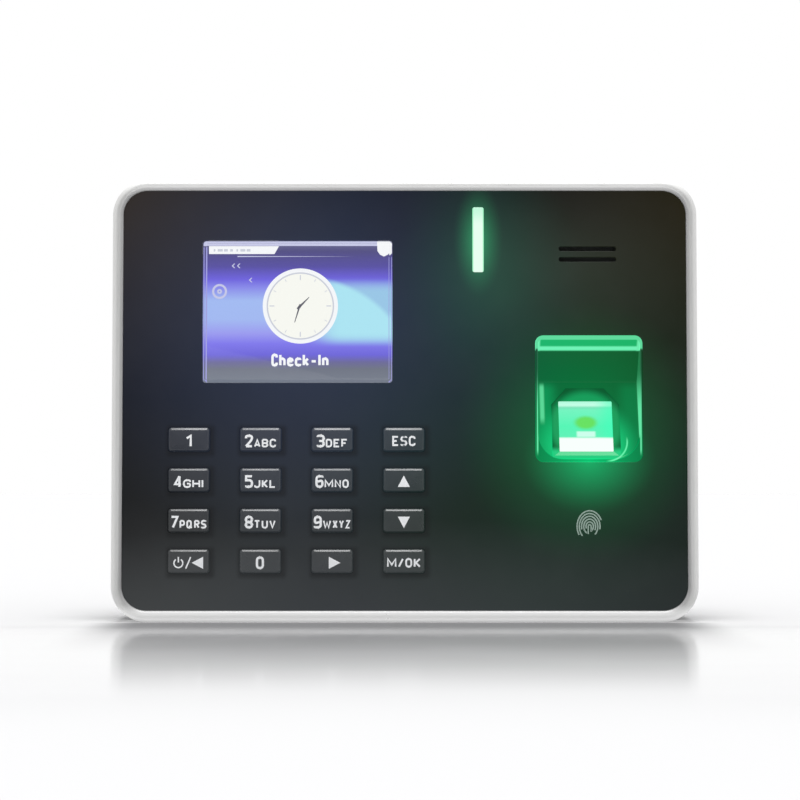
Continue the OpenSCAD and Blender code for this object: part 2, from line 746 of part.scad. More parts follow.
// Leads of the speaker and of the battery, two side by side each.
module wire_leads() color("#b3261e") {
    for (dz = [0, 1.6]) {
        tube([[46.7, -8.4, 111 + dz], [44, -8.3, 110.6 + dz], [41, -7.8, 109.6 + dz], [39, -6.4, 108.6 + dz],
            [38.3, -4.4, 107.8 + dz], [37.4, -2.6, 107.3 + dz], [35.8, -1.6, 107 + dz], [34.15, -1.5, 107 + dz]], 0.55);
        tube([[32.15, 10.15, 88 + dz], [33.6, 10, 88 + dz], [35.2, 8.8, 88.1 + dz], [36, 6.6, 88.2 + dz],
            [35.9, 4, 88.3 + dz], [35.3, 1.4, 88.4 + dz], [34, -0.8, 88.4 + dz], [32.15, -1.1, 88.4 + dz]], 0.55);
    }
}

// ---------------------------------------------------------------- back

module shell_profile() {
    depth = shell_back_y - shell_front_y;
    back_t = shell_back_y - back_inner_y;
    difference() {
        union() {
            square([wall, depth]);
            translate([0, depth - back_t]) square([6, back_t]);
            translate([wall + 0.1, -2.5]) square([1.4, 3.8]);
            translate([wall - 0.5, 0]) square([1.5, 1.3]);
        }
        translate([0, depth]) mirror([0, 1]) edge_cut(shell_edge_r);
    }
}

module rear_shell() color(CHARCOAL) difference() {
    union() {
        rim(shell_front_y) shell_profile();
        slab(back_inner_y, shell_back_y) outline(shell_edge_r);
        block([bay_x0 - bay_wall, bay_floor_y - bay_wall, bay_z0 - bay_wall],
            [bay_x1 + bay_wall, back_inner_y + 0.5, bay_z1 + bay_wall]);
        for (sx = [-1, 1], z = case_screw_z)
            rod(shell_front_y, back_inner_y + 0.5, column_r, sx * case_screw_x, z);
        head_pockets(recess_y - pocket_depth - 1.5, back_inner_y + 0.5, 1.5);
        for (s = [-1, 1]) rod(9.2, back_inner_y + 0.5, 3, battery_x + s * strap_reach, strap_z);
        rod(tamper_guide_y, back_inner_y + 0.5, 3.6, tamper_x, tamper_z);
        block([-7, lock_y - 4, wall - 0.5], [7, back_inner_y + 0.5, 5.7]);
    }
    plate_recess();
    bay_openings();
    for (sx = [-1, 1], z = case_screw_z) {
        rod(seat_y, shell_back_y + 1, bore_r, sx * case_screw_x, z);
        rod(shell_front_y - 1, seat_y + 1, 1.6, sx * case_screw_x, z);
    }
    head_pockets(recess_y - pocket_depth, recess_y + 1, 0);
    for (s = [-1, 1]) rod(8, 13.8, pilot_r, battery_x + s * strap_reach, strap_z);
    rod(0, shell_back_y + 1, tamper_r + 0.12, tamper_x, tamper_z);
    block([usb_x0 - 3, board_back_y - 0.4, usb_z0 - 0.4], [usb_x0 + 4, board_back_y + usb_h + 0.4, usb_z1 + 0.4]);
    translate([0, lock_y, -1]) cylinder(h = wall + 1, r = 3.1);
    translate([0, lock_y, 0]) cylinder(h = 8, r = 1.65);
}

// Room behind the wall plate for the heads of the wall screws, grown by a margin.
module head_pockets(y0, y1, grow) {
    r = head_pocket_r + grow;
    for (p = wall_holes()) rod(y0, y1, r, p[0], p[1]);
    slab(y0, y1) for (s = [-1, 1])
        rounded_at(s * box_slot_x / 2, box_slot_z, box_slot_w + 7 + 2 * grow, 2 * r, r - 0.01);
}

// The recess that the wall plate sits in, with the slots for its hooks and its flange.
module plate_recess() {
    slab(recess_y, shell_back_y + 1) rounded_at(0, plate_z, plate_w + 1, plate_h + 1, plate_r + 0.5);
    for (s = [-1, 1]) block([s * hook_x - hook_w / 2 - 0.5, back_inner_y - 1, hook_z - 3.6],
        [s * hook_x + hook_w / 2 + 0.5, recess_y + 1, hook_z + plate_t + 0.3]);
    block([-flange_w / 2 - 0.6, back_inner_y - 0.5, plate_z - plate_h / 2 - 0.3],
        [flange_w / 2 + 0.6, recess_y + 1, plate_z - plate_h / 2 + plate_t + 0.5]);
}

// The bay's hollow, and the holes in its ceiling for the connectors and the reset button.
module bay_openings() {
    block([bay_x0, bay_floor_y, bay_z0], [bay_x1, shell_back_y + 1, bay_z1]);
    for (c = [ethernet, power, terminal])
        block([c[0] - c[1] / 2 - 0.2, bay_floor_y, bay_z1 - 1],
            [c[0] + c[1] / 2 + 0.2, board_back_y + c[2] + 0.2, bay_z1 + bay_wall + 1]);
    translate([reset_x, reset_y, bay_z1 - 1]) cylinder(h = bay_wall + 2, r = reset_r + 0.2);
}

function wall_holes() = corners(0, plate_z, wall_hole_x, wall_hole_z);

module wall_plate() color(STEEL) {
    difference() {
        slab(plate_front_y, back_y) difference() {
            rounded_at(0, plate_z, plate_w, plate_h, plate_r);
            for (p = wall_holes()) translate(p) circle(wall_hole_r);
            for (s = [-1, 1])
                rounded_at(s * box_slot_x / 2, box_slot_z, box_slot_w, box_slot_h, box_slot_h / 2 - 0.001);
            rounded_at((bay_x0 + bay_x1) / 2, (bay_z0 + bay_z1) / 2, bay_x1 - bay_x0 - 2 * window_gap,
                bay_z1 - bay_z0 - window_gap, 2);
        }
    }
    for (s = [-1, 1]) {
        x0 = s * hook_x - hook_w / 2;
        block([x0, back_inner_y - 2, hook_z], [x0 + hook_w, plate_front_y + 0.01, hook_z + plate_t]);
        block([x0, back_inner_y - 2, hook_z], [x0 + hook_w, back_inner_y - 0.5, hook_z + plate_t + hook_lip]);
    }
    difference() {
        block([-flange_w / 2, lock_y - 4, plate_z - plate_h / 2], [flange_w / 2, plate_front_y + 0.01, plate_z - plate_h / 2 + plate_t]);
        translate([0, lock_y, 4]) cylinder(h = 6, r = 1.5);
    }
}

// Four long screws that close the case from behind, and the lock screw under it.
module case_screws() color(STEEL) {
    for (sx = [-1, 1], z = case_screw_z) screw(sx * case_screw_x, z, seat_y, 13, 1.25, 2.5, 2);
    translate([0, lock_y, 0.4]) difference() {
        union() {
            cylinder(h = 1.7, r = 2.8);
            cylinder(h = 8.6, r = 1.42);
        }
        translate([0, 0, -1]) cylinder(h = 2, r = 1.25, $fn = 6);
    }
}

// ---------------------------------------------------------------- nodes

for (row = [0 : 3], col = [0 : 3])
    key_cap(col, row);
front_panel();
bezel_frame();
screen_window();
status_light_pipe();
sensor_cup();
sensor_frame();
sensor_prism();
sensor_body();
sensor_light_board();
sensor_camera();
sensor_cable();
speaker_mesh();
speaker_frame();
speaker_cone();
display_gasket();
display_glass();
display_backlight();
display_flex();
rubber_keypad();
keypad_board();
keypad_header();
keypad_screws();
main_board();
board_chips();
board_screws();
status_leds();
ethernet_jack();
power_jack();
terminal_block();
usb_port();
reset_switch();
reset_button();
tamper_switch();
tamper_plunger();
tamper_spring();
buzzer();
coin_cell_holder();
coin_cell();
backup_battery();
battery_bracket();
wire_leads();
rear_shell();
wall_plate();
case_screws();
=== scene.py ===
"""Looks of a wall-mounted fingerprint terminal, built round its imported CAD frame.

Lengths are in millimetres, in the row's frame: +X to the viewer's right, +Y into the wall, +Z up, with
the front facing -Y. Points become metres when a mesh is made. Every piece keeps its origin at the row's
origin, so a material knows where in the terminal each of its points is.
"""

import json
import math

import bmesh
import bpy
from mathutils import Matrix, Vector


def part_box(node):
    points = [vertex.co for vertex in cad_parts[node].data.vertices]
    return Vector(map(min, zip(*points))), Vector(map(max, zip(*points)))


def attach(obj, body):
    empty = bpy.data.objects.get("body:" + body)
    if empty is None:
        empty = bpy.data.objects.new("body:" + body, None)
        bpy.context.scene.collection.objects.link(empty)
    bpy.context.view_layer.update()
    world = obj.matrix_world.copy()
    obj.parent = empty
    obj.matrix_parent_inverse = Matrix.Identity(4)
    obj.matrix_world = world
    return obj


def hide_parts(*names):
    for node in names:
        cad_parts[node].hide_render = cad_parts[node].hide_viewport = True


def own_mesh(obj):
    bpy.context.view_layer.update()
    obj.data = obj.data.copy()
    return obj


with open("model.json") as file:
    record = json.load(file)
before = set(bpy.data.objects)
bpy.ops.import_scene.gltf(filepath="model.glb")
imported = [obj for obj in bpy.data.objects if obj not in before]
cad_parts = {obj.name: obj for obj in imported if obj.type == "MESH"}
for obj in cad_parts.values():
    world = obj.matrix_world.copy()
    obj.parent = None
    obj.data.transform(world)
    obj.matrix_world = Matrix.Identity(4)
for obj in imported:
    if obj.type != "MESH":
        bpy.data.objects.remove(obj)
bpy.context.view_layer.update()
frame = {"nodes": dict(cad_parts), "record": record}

MM = 0.001
NODES = frame["nodes"]
RECORD = frame["record"]
scene = bpy.context.scene


def box(node):
    """Lowest and highest corner of a CAD node."""
    low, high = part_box(node)
    return Vector(low) / MM, Vector(high) / MM


def centre(node):
    low, high = box(node)
    return (low + high) / 2


BODY_OF = {n: body for body, members in RECORD["behaviour"]["bodies"].items() for n in members}
CASE = BODY_OF["front_panel"]
SLOT_OF = {s["node"]: s["material_slot"] for s in RECORD["subparts"]}

# ---------------------------------------------------------------- measures

# Depths, front to back.
FRONT_Y = box("bezel_frame")[0].y
FACE_Y = box("front_panel")[0].y
PANEL_T = 2.2
PANEL_BACK_Y = FACE_Y + PANEL_T
SPLIT_Y = box("bezel_frame")[1].y

# Outline of the case and the bezel's section.
case_low, case_high = box("bezel_frame")
CASE_W = case_high.x - case_low.x
CASE_H = case_high.z - case_low.z
CASE_Z = (case_high.z + case_low.z) / 2
CORNER_R = 11
BAND = 3.4
WALL = 2.2
LEDGE_W = 5.6
LEDGE_T = 1.6

# Openings of the panel.
SCREEN = centre("display_glass")
SCREEN_W = 58.4
SCREEN_H = 43.9
LIGHT = centre("status_light_pipe")
LIGHT_W = 3.4
LIGHT_H = 20
SPEAKER = centre("speaker_mesh")
SLOT_W = 17.8
SLOT_H = 1.6
SLOT_PITCH = 3.3
WELL_W = 33
WELL_H = 39
WELL_X, _, WELL_Z = centre("sensor_cup")
KEY_W = 12.6
KEY_H = 7.2
KEY_R = 0.9
KEY_GAP = 0.15
KEY_ROWS = [
    ["key_1", "key_2", "key_3", "key_esc"],
    ["key_4", "key_5", "key_6", "key_up"],
    ["key_7", "key_8", "key_9", "key_down"],
    ["key_power_left", "key_0", "key_right", "key_menu_ok"],
]
KEYS = [key for row in KEY_ROWS for key in row]

# ---------------------------------------------------------------- camera

VIEW_DISTANCE = 600
VIEW_WIDTH = 245.1
LOOK_UP = math.radians(2.5)
AIM = Vector((-1.45, FRONT_Y, 67.9))
SENSOR_WIDTH = 36


def make_camera():
    """A long lens a little below the terminal's middle, looking slightly up at it."""
    data = bpy.data.cameras.new("camera")
    data.sensor_width = SENSOR_WIDTH
    data.lens = SENSOR_WIDTH * VIEW_DISTANCE / VIEW_WIDTH
    camera = bpy.data.objects.new("camera", data)
    scene.collection.objects.link(camera)
    away = Vector((0, -math.cos(LOOK_UP), -math.sin(LOOK_UP)))
    camera.location = (AIM + away * VIEW_DISTANCE) * MM
    camera.rotation_mode = "QUATERNION"
    camera.rotation_quaternion = (-away).to_track_quat("-Z", "Y")
    data.clip_start = 0.01
    scene.camera = camera


make_camera()

# ---------------------------------------------------------------- materials

BLACK = (0.0, 0.0, 0.0, 1.0)
WHITE = (1.0, 1.0, 1.0, 1.0)


def srgb(red, green, blue):
    """A display colour from 0 to 255 as the linear colour that a shader takes."""
    def linear(c):
        c /= 255
        return c / 12.92 if c <= 0.04045 else ((c + 0.055) / 1.055) ** 2.4
    return (linear(red), linear(green), linear(blue), 1.0)


def add_node(tree, kind, inputs=(), **settings):
    """Adds a node to a tree. inputs are its input sockets in order, as values, outputs or None."""
    made = tree.nodes.new(kind)
    for key, value in settings.items():
        setattr(made, key, value)
    for socket, value in zip(made.inputs, inputs):
        if isinstance(value, bpy.types.NodeSocket):
            tree.links.new(value, socket)
        elif value is not None:
            socket.default_value = value
    return made


class Shader:
    """A material with one Principled shader, and short calls that add nodes to it.

    Lengths are in millimetres.
    """

    def __init__(self, name, colour, roughness, **sockets):
        self.material = bpy.data.materials.new(name)
        self.material.use_nodes = True
        self.tree = self.material.node_tree
        self.bsdf = self.tree.nodes["Principled BSDF"]
        self.put("Base Color", colour)
        self.put("Roughness", roughness)
        for socket, value in sockets.items():
            self.put(socket.replace("_", " "), value)
        self.material.diffuse_color = colour

    def put(self, socket, value):
        """Sets a socket of the shader to a value, or links a node's output to it."""
        if isinstance(value, bpy.types.NodeSocket):
            self.tree.links.new(value, self.bsdf.inputs[socket])
        else:
            self.bsdf.inputs[socket].default_value = value

    def light(self, colour, strength=1.0):
        self.put("Emission Color", colour)
        self.put("Emission Strength", strength)

    def node(self, kind, inputs=(), **settings):
        return add_node(self.tree, kind, inputs, **settings)

    def place(self):
        """Where the surface point is, in the row's frame."""
        metres = self.node("ShaderNodeTexCoord").outputs["Object"]
        return self.vector("MULTIPLY", metres, [1 / MM] * 3)

    def axes(self):
        """The surface point's x, y and z."""
        return self.node("ShaderNodeSeparateXYZ", (self.place(),)).outputs[:]

    def math(self, operation, *values, clamp=False):
        return self.node("ShaderNodeMath", values, operation=operation, use_clamp=clamp).outputs[0]

    def product(self, first, *others):
        for other in others:
            first = self.math("MULTIPLY", first, other)
        return first

    def off(self, value, middle):
        """How far a value is from the middle one, either way."""
        return self.math("ABSOLUTE", self.math("SUBTRACT", value, middle))

    def vector(self, operation, *values):
        made = self.node("ShaderNodeVectorMath", values, operation=operation)
        scalar = operation in ("LENGTH", "DOT_PRODUCT", "DISTANCE")
        return made.outputs["Value" if scalar else "Vector"]

    def length(self, across, up):
        """Length of a flat vector."""
        flat = self.node("ShaderNodeCombineXYZ", (across, up, 0.0))
        return self.vector("LENGTH", flat.outputs[0])

    def fade(self, value, start, end, low=0.0, high=1.0, shape="SMOOTHSTEP"):
        """Runs from low to high while value runs from start to end."""
        made = self.node("ShaderNodeMapRange", (value, start, end, low, high), interpolation_type=shape)
        return made.outputs["Result"]

    def noise(self, size, detail=2.0, stretch=(1, 1, 1)):
        """Noise whose blobs are about size across."""
        spread = self.vector("MULTIPLY", self.place(), [s / size for s in stretch])
        scale = 1.0
        return self.node("ShaderNodeTexNoise", (spread, None, scale, detail)).outputs[0]

    def mix(self, factor, a, b):
        """A colour between a and b, which are the node's seventh and eighth input."""
        inputs = [factor] + [None] * 5 + [a, b]
        made = self.node("ShaderNodeMix", inputs, data_type="RGBA")
        return next(s for s in made.outputs if s.type == "RGBA")

    def ramp(self, value, stops):
        """A colour that follows stops, each a position and a colour."""
        made = self.node("ShaderNodeValToRGB", (value,))
        band = made.color_ramp
        band.elements[0].position, band.elements[0].color = stops[0]
        band.elements[1].position, band.elements[1].color = stops[-1]
        for position, colour in stops[1:-1]:
            band.elements.new(position).color = colour
        return made.outputs["Color"]

    def bump(self, height, depth):
        """Bumps the surface by a height from 0 to 1, that deep."""
        made = self.node("ShaderNodeBump")
        made.inputs["Strength"].default_value = 1.0
        made.inputs["Distance"].default_value = depth * MM
        self.tree.links.new(height, made.inputs["Height"])
        self.put("Normal", made.outputs["Normal"])

    def vary(self, socket, factor, low, high):
        """Lets a number of the shader run from low to high with a noise."""
        self.put(socket, self.fade(factor, 0.3, 0.7, low, high, "LINEAR"))


def plastic(name, colour, roughness, grain=0.25, depth=0.004, tint=1.15, **sockets):
    """Moulded plastic: a fine grain, soft patches of gloss and a slight drift in colour."""
    s = Shader(name, colour, roughness, **sockets)
    spread = 0.05
    s.vary("Roughness", s.noise(9, 3), roughness - spread, roughness + spread)
    lighter = tuple(min(1.0, c * tint) for c in colour[:3]) + (1.0,)
    s.put("Base Color", s.mix(s.noise(14, 4), colour, lighter))
    s.bump(s.noise(grain, 2), depth)
    return s


def metal(name, colour, roughness, stretch=(1, 1, 1), depth=0.003):
    """Plated or brushed metal with fine lines along its grain."""
    s = Shader(name, colour, roughness, Metallic=1.0)
    lines = s.noise(0.4, 4, stretch)
    s.vary("Roughness", lines, roughness * 0.75, roughness * 1.3)
    darker = tuple(c * 0.82 for c in colour[:3]) + (1.0,)
    s.put("Base Color", s.mix(s.noise(6, 4), colour, darker))
    s.bump(lines, depth)
    return s


# Painted light on the front, put in as emission: the glow that the screen, the status light and the sensor
# throw, and painted reflections and haze at the bottom, the upper corners and round the speaker. Each entry:
# centre, reach in x and z, how sharply it falls off, colour.
GLOWS = [
    ((SCREEN.x + 3, SCREEN.z), (88, 74), 1.3, (0.026, 0.038, 0.080)),
    ((SCREEN.x - 5, 34), (66, 50), 1.4, (0.014, 0.018, 0.020)),
    ((-8, -6), (150, 38), 1.0, (0.040, 0.045, 0.049)),
    ((-CASE_W / 2 + 10, 2), (55, 36), 1.2, (0.024, 0.025, 0.024)),
    ((-CASE_W / 2, CASE_H), (75, 70), 1.2, (0.024, 0.016, 0.006)),
    ((CASE_W / 2, CASE_H), (60, 90), 1.1, (0.013, 0.010, 0.0)),
    ((SPEAKER.x - 4, SPEAKER.z - 4), (40, 32), 1.2, (0.017, 0.019, 0.016)),
    ((LIGHT.x + 8, LIGHT.z - 17), (40, 34), 1.4, (0.0, 0.012, 0.003)),
    ((LIGHT.x, LIGHT.z), (8, 18.5), 1.7, (0.018, 0.26, 0.095)),
    ((LIGHT.x + 2, LIGHT.z - 6), (30, 42), 1.6, (0.006, 0.042, 0.018)),
    ((WELL_X, WELL_Z - 19), (21, 17), 1.5, (0.0, 0.32, 0.10)),
    ((WELL_X - 2, WELL_Z - 10), (40, 42), 1.5, (0.0, 0.105, 0.026)),
    ((WELL_X - 8, WELL_Z - 14), (86, 80), 1.4, (0.0, 0.024, 0.009)),
]


def key_offset(s):
    """How far a point is from the nearest key's middle along x and z, and if it is on the keypad."""
    first, last = centre(KEY_ROWS[-1][0]), centre(KEY_ROWS[0][-1])
    x, _, z = s.axes()
    spans = ((x, first.x, last.x, len(KEY_ROWS[0])), (z, first.z, last.z, len(KEY_ROWS)))
    offsets = []
    inside = []
    for value, low, high, count in spans:
        pitch = (high - low) / (count - 1)
        along = s.math("FLOORED_MODULO", s.math("SUBTRACT", value, low - pitch / 2), pitch)
        offsets.append(s.math("SUBTRACT", along, pitch / 2))
        reach = count * pitch / 2
        inside.append(s.fade(s.off(value, (low + high) / 2), reach, reach - 0.1))
    return offsets[0], offsets[1], s.product(*inside)


def key_shade(s):
    """A soft shade from 0 to 1 on the panel, round each key and mostly to its lower right."""
    across, up, on_keypad = key_offset(s)
    right, down, reach = 0.5, 0.4, 2.1
    beyond_x = s.math("SUBTRACT", s.off(across, right), KEY_W / 2)
    beyond_z = s.math("SUBTRACT", s.off(up, -down), KEY_H / 2)
    gap = s.length(s.math("MAXIMUM", beyond_x, 0.0), s.math("MAXIMUM", beyond_z, 0.0))
    return s.product(s.fade(gap, 0, reach, 1, 0), on_keypad)


def add_glow(s, total=None, shade=None):
    """Paints the glow of the screen, the status light and the sensor, and the other painted light of GLOWS,
    on a front surface as emission, dimmed by a painted shade if given.
    """
    place = s.place()
    for (x, z), (reach_x, reach_z), power, colour in GLOWS:
        offset = s.vector("SUBTRACT", place, (x, 0, z))
        flat = s.vector("MULTIPLY", offset, (1 / reach_x, 0, 1 / reach_z))
        near = s.math("SUBTRACT", 1.0, s.vector("LENGTH", flat), clamp=True)
        glow = s.vector("SCALE", colour, None, None, s.math("POWER", near, power))
        total = glow if total is None else s.vector("ADD", total, glow)
    if shade is not None:
        total = s.mix(s.product(shade, 0.5), total, BLACK)
    s.light(total)


def screen_shader():
    """The lit screen's backdrop: violet to pale blue bands, a cyan sweep and a grey foot."""
    s = Shader("screen_face", BLACK, 0.15, Specular_IOR_Level=0.0)
    x, _, z = s.axes()
    right = s.fade(s.math("SUBTRACT", x, SCREEN.x), 2, 14)
    up = s.math("SUBTRACT", z, SCREEN.z)
    backdrop = s.ramp(s.fade(up, -SCREEN_H / 2, SCREEN_H / 2, shape="LINEAR"), [
        (0.00, srgb(124, 132, 146)),
        (0.10, srgb(114, 120, 136)),
        (0.15, srgb(110, 108, 160)),
        (0.20, srgb(112, 104, 226)),
        (0.28, srgb(132, 124, 246)),
        (0.35, srgb(160, 160, 250)),
        (0.45, srgb(168, 192, 252)),
        (0.58, srgb(168, 194, 252)),
        (0.67, srgb(142, 144, 244)),
        (0.73, srgb(112, 100, 230)),
        (0.82, srgb(88, 80, 168)),
        (0.93, srgb(82, 78, 134)),
        (1.00, srgb(112, 112, 152)),
    ])
    flat = s.vector("MULTIPLY", s.place(), (1, 0, 1))
    inside = s.fade(s.vector("DISTANCE", flat, (SCREEN.x + 2, 0, SCREEN.z - 24)), 35.5, 33.5)
    above = s.fade(up, -11, -6)
    below = s.fade(up, 11, 6)
    pale = s.mix(s.product(below, right, above), backdrop, srgb(158, 206, 240))
    s.light(s.mix(s.product(inside, right, above), pale, srgb(178, 238, 253)), 0.95)
    return s.material


def lamp(name, colour, strength=1.0):
    """A plain lit surface, such as a mark on the screen."""
    s = Shader(name, BLACK, 0.4, Specular_IOR_Level=0.0)
    s.light(colour, strength)
    return s.material


def clear_shader():
    """Clear acrylic, with faint smudges in its gloss."""
    s = Shader("window_clear", WHITE, 0.02, IOR=1.45, Transmission_Weight=1.0)
    s.vary("Roughness", s.noise(11, 4), 0.0, 0.035)
    return s.material


def legend_shader():
    s = plastic("legend_white", (0.78, 0.79, 0.8, 1), 0.45, depth=0.001, tint=1.08)
    # Painted glow: a faint emission brightens the white print.
    s.light((0.8, 0.84, 0.9, 1), 0.12)
    return s.material


# Colour, roughness and other settings of the plain materials, by the record's slot.
PLASTICS = {
    "panel_black": ((0.0042, 0.0042, 0.005, 1), 0.22,
                    {"grain": 1.2, "depth": 0.001, "Specular_IOR_Level": 0.2}),
    "key_black": ((0.009, 0.0095, 0.011, 1), 0.3,
                  {"grain": 0.5, "depth": 0.002, "Specular_IOR_Level": 0.6}),
    "shell_charcoal": ((0.022, 0.0225, 0.025, 1), 0.52, {"grain": 0.45, "depth": 0.03}),
    "sensor_black": ((0.008, 0.016, 0.011, 1), 0.22, {}),
    "speaker_cloth": ((0.014, 0.016, 0.014, 1), 0.85, {"depth": 0.02}),
    "speaker_paper": ((0.02, 0.02, 0.022, 1), 0.9, {}),
    "foam_black": ((0.012, 0.012, 0.012, 1), 0.9, {"grain": 0.4, "depth": 0.05}),
    "tray_white": ((0.7, 0.72, 0.74, 1), 0.45, {}),
    "flex_amber": ((0.45, 0.2, 0.03, 1), 0.3, {}),
    "silicone_white": ((0.6, 0.6, 0.57, 1), 0.6, {}),
    "board_green": ((0.01, 0.1, 0.035, 1), 0.35, {"grain": 0.8, "depth": 0.01, "tint": 1.5}),
    "chip_black": ((0.013, 0.0135, 0.015, 1), 0.45, {}),
    "terminal_green": ((0.02, 0.25, 0.06, 1), 0.4, {}),
    "button_white": ((0.75, 0.74, 0.7, 1), 0.4, {}),
    "led_white": ((0.8, 0.8, 0.7, 1), 0.3, {}),
    "cable_white": ((0.6, 0.6, 0.56, 1), 0.4, {}),
    "battery_blue": ((0.02, 0.08, 0.3, 1), 0.25, {"grain": 1.2, "depth": 0.01}),
    "wire_red": ((0.4, 0.012, 0.01, 1), 0.4, {}),
}
METALS = {
    "speaker_steel": ((0.06, 0.06, 0.065, 1), 0.4, {}),
    "screw_steel": ((0.55, 0.555, 0.56, 1), 0.3, {}),
    "connector_steel": ((0.62, 0.62, 0.6, 1), 0.25, {"stretch": (1, 1, 0.08)}),
    "plate_steel": ((0.5, 0.51, 0.52, 1), 0.42, {"stretch": (0.06, 1, 1), "depth": 0.004}),
}


def make_materials():
    """The plain materials, with painted glow on the panel and the keys, and painted shade round the keys on
    the panel.
    """
    shaders = {}
    for kind, table in ((plastic, PLASTICS), (metal, METALS)):
        for slot, (colour, roughness, settings) in table.items():
            shaders[slot] = kind(slot, colour, roughness, **settings)
    add_glow(shaders["panel_black"], shade=key_shade(shaders["panel_black"]))
    add_glow(shaders["key_black"])
    return {slot: s.material for slot, s in shaders.items()}


MATERIALS = make_materials()

# ---------------------------------------------------------------- mesh making


def seat(piece, material, body=CASE, replaces=(), slot=None):
    """Gives a piece its material and its body, and hides the CAD nodes it stands for."""
    piece.data.materials.clear()
    piece.data.materials.append(material)
    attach(piece, body)
    for node in replaces:
        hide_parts(node)
        slot = slot or SLOT_OF[node]
    return piece


def new_object(name, mesh):
    piece = bpy.data.objects.new(name, mesh)
    scene.collection.objects.link(piece)
    return piece


def clean(mesh, merge, sharp):
    """Merges points that are closer than merge metres, and smooths all but edges over sharp degrees."""
    work = bmesh.new()
    work.from_mesh(mesh)
    bmesh.ops.remove_doubles(work, verts=work.verts, dist=merge)
    bmesh.ops.recalc_face_normals(work, faces=work.faces)
    work.to_mesh(mesh)
    work.free()
    mesh.shade_smooth()
    mesh.set_sharp_from_angle(angle=math.radians(sharp))


def loft(name, loops, sharp=35, ring=False):
    """Skins closed loops that have the same number of points. Ends are capped unless it is a ring."""
    count = len(loops[0])
    faces = []
    for i in range(len(loops) if ring else len(loops) - 1):
        j = (i + 1) % len(loops)
        for k in range(count):
            k2 = (k + 1) % count
            faces.append((i * count + k, i * count + k2, j * count + k2, j * count + k))
    if not ring:
        faces.append(tuple(range(count)))
        faces.append(tuple(range((len(loops) - 1) * count, len(loops) * count)))
    mesh = bpy.data.meshes.new(name)
    mesh.from_pydata([Vector(p) * MM for loop in loops for p in loop], [], faces)
    clean(mesh, 1e-7, sharp)
    return new_object(name, mesh)


def rounded(w, h, r, steps=8):
    """Points of a rectangle with round corners, centred, counter-clockwise. r is one radius or four."""
    radii = r if isinstance(r, (tuple, list)) else (r,) * 4
    points = []
    for corner, radius in enumerate(radii):
        start = corner * math.pi / 2
        sx, sz = (1, -1, -1, 1)[corner], (1, 1, -1, -1)[corner]
        cx, cz = sx * (w / 2 - radius), sz * (h / 2 - radius)
        for k in range(steps + 1):
            a = start + math.pi / 2 * k / steps
            points.append((cx + radius * math.cos(a), cz + radius * math.sin(a)))
    return points


def turned(points, degrees, size=1):
    """Turns a flat outline round its origin, and scales it."""
    c, s = math.cos(math.radians(degrees)), math.sin(math.radians(degrees))
    return [(size * (a * c - b * s), size * (a * s + b * c)) for a, b in points]


def shifted(points, x, z):
    return [(x + a, z + b) for a, b in points]


def at(points, x, y, z):
    """Stands a flat outline in the front view, at depth y."""
    return [(x + a, y, z + b) for a, b in points]


def stack(name, rows, x, z, steps=5, sharp=35):
    """Skins round-cornered rectangles behind each other: width, height, corner radius and depth of each."""
    return loft(name, [at(rounded(w, h, r, steps), x, y, z) for w, h, r, y in rows], sharp)


def modifier(piece, kind, **settings):
    made = piece.modifiers.new(kind.lower(), kind)
    for key, value in settings.items():
        setattr(made, key, value)


def bevel(piece, width, segments, angle):
    """Rounds every edge sharper than angle degrees."""
    modifier(piece, "BEVEL", width=width * MM, segments=segments, limit_method="ANGLE",
             angle_limit=math.radians(angle), harden_normals=True, miter_outer="MITER_ARC")


def cut(piece, operation, cutter):
    """Replaces a piece's mesh with what a boolean with a cutter makes of it, and removes the cutter."""
    modifier(piece, "BOOLEAN", operation=operation, object=cutter, solver="EXACT")
    shape = piece.evaluated_get(bpy.context.evaluated_depsgraph_get())
    mesh = bpy.data.meshes.new_from_object(shape)
    piece.modifiers.clear()
    piece.data = mesh
    mesh.name = piece.name
    bpy.data.objects.remove(cutter)


def join(name, parts):
    """Joins pieces into one and names it."""
    work = bmesh.new()
    for part in parts:
        work.from_mesh(part.data)
        bpy.data.objects.remove(part)
    mesh = bpy.data.meshes.new(name)
    work.to_mesh(mesh)
    work.free()
    return new_object(name, mesh)


def plate(name, outline, holes, front, back, edge):
    """A flat plate with holes whose edges are all rounded, from outlines in the front view."""
    curve = bpy.data.curves.new(name, "CURVE")
    curve.dimensions = "2D"
    curve.fill_mode = "BOTH"
    for points in [outline] + holes:
        spline = curve.splines.new("POLY")
        spline.points.add(len(points) - 1)
        spline.use_cyclic_u = True
        for target, (x, z) in zip(spline.points, points):
            target.co = (x * MM, z * MM, 0, 1)
    curve.extrude = (back - front - 2 * edge) / 2 * MM
    curve.bevel_depth = edge * MM
    curve.bevel_resolution = 2
    curve.offset = -edge * MM
    made = new_object(name + "_curve", curve)
    mesh = bpy.data.meshes.new_from_object(made.evaluated_get(bpy.context.evaluated_depsgraph_get()))
    bpy.data.objects.remove(made)
    stand = Matrix.Translation((0, (front + back) / 2 * MM, 0)) @ Matrix.Rotation(math.pi / 2, 4, "X")
    mesh.transform(stand)
    clean(mesh, 1e-6, 40)
    for face in mesh.polygons:
        face.use_smooth = abs(face.normal.y) < 0.99
    return new_object(name, mesh)


def tube(name, path, radius, sides=8):
    """A round tube along a path that never runs straight into the wall."""
    loops = []
    for i, p in enumerate(path):
        before = Vector(path[max(i - 1, 0)])
        after = Vector(path[min(i + 1, len(path) - 1)])
        along = (after - before).normalized()
        side = along.cross(Vector((0, 1, 0))).normalized()
        other = along.cross(side)
        ring = []
        for k in range(sides):
            a = 2 * math.pi * k / sides
            ring.append(tuple(Vector(p) + radius * (math.cos(a) * side + math.sin(a) * other)))
        loops.append(ring)
    return loft(name, loops, sharp=80)


# ---------------------------------------------------------------- print

# How thick a printed mark is.
PRINT_T = 0.03


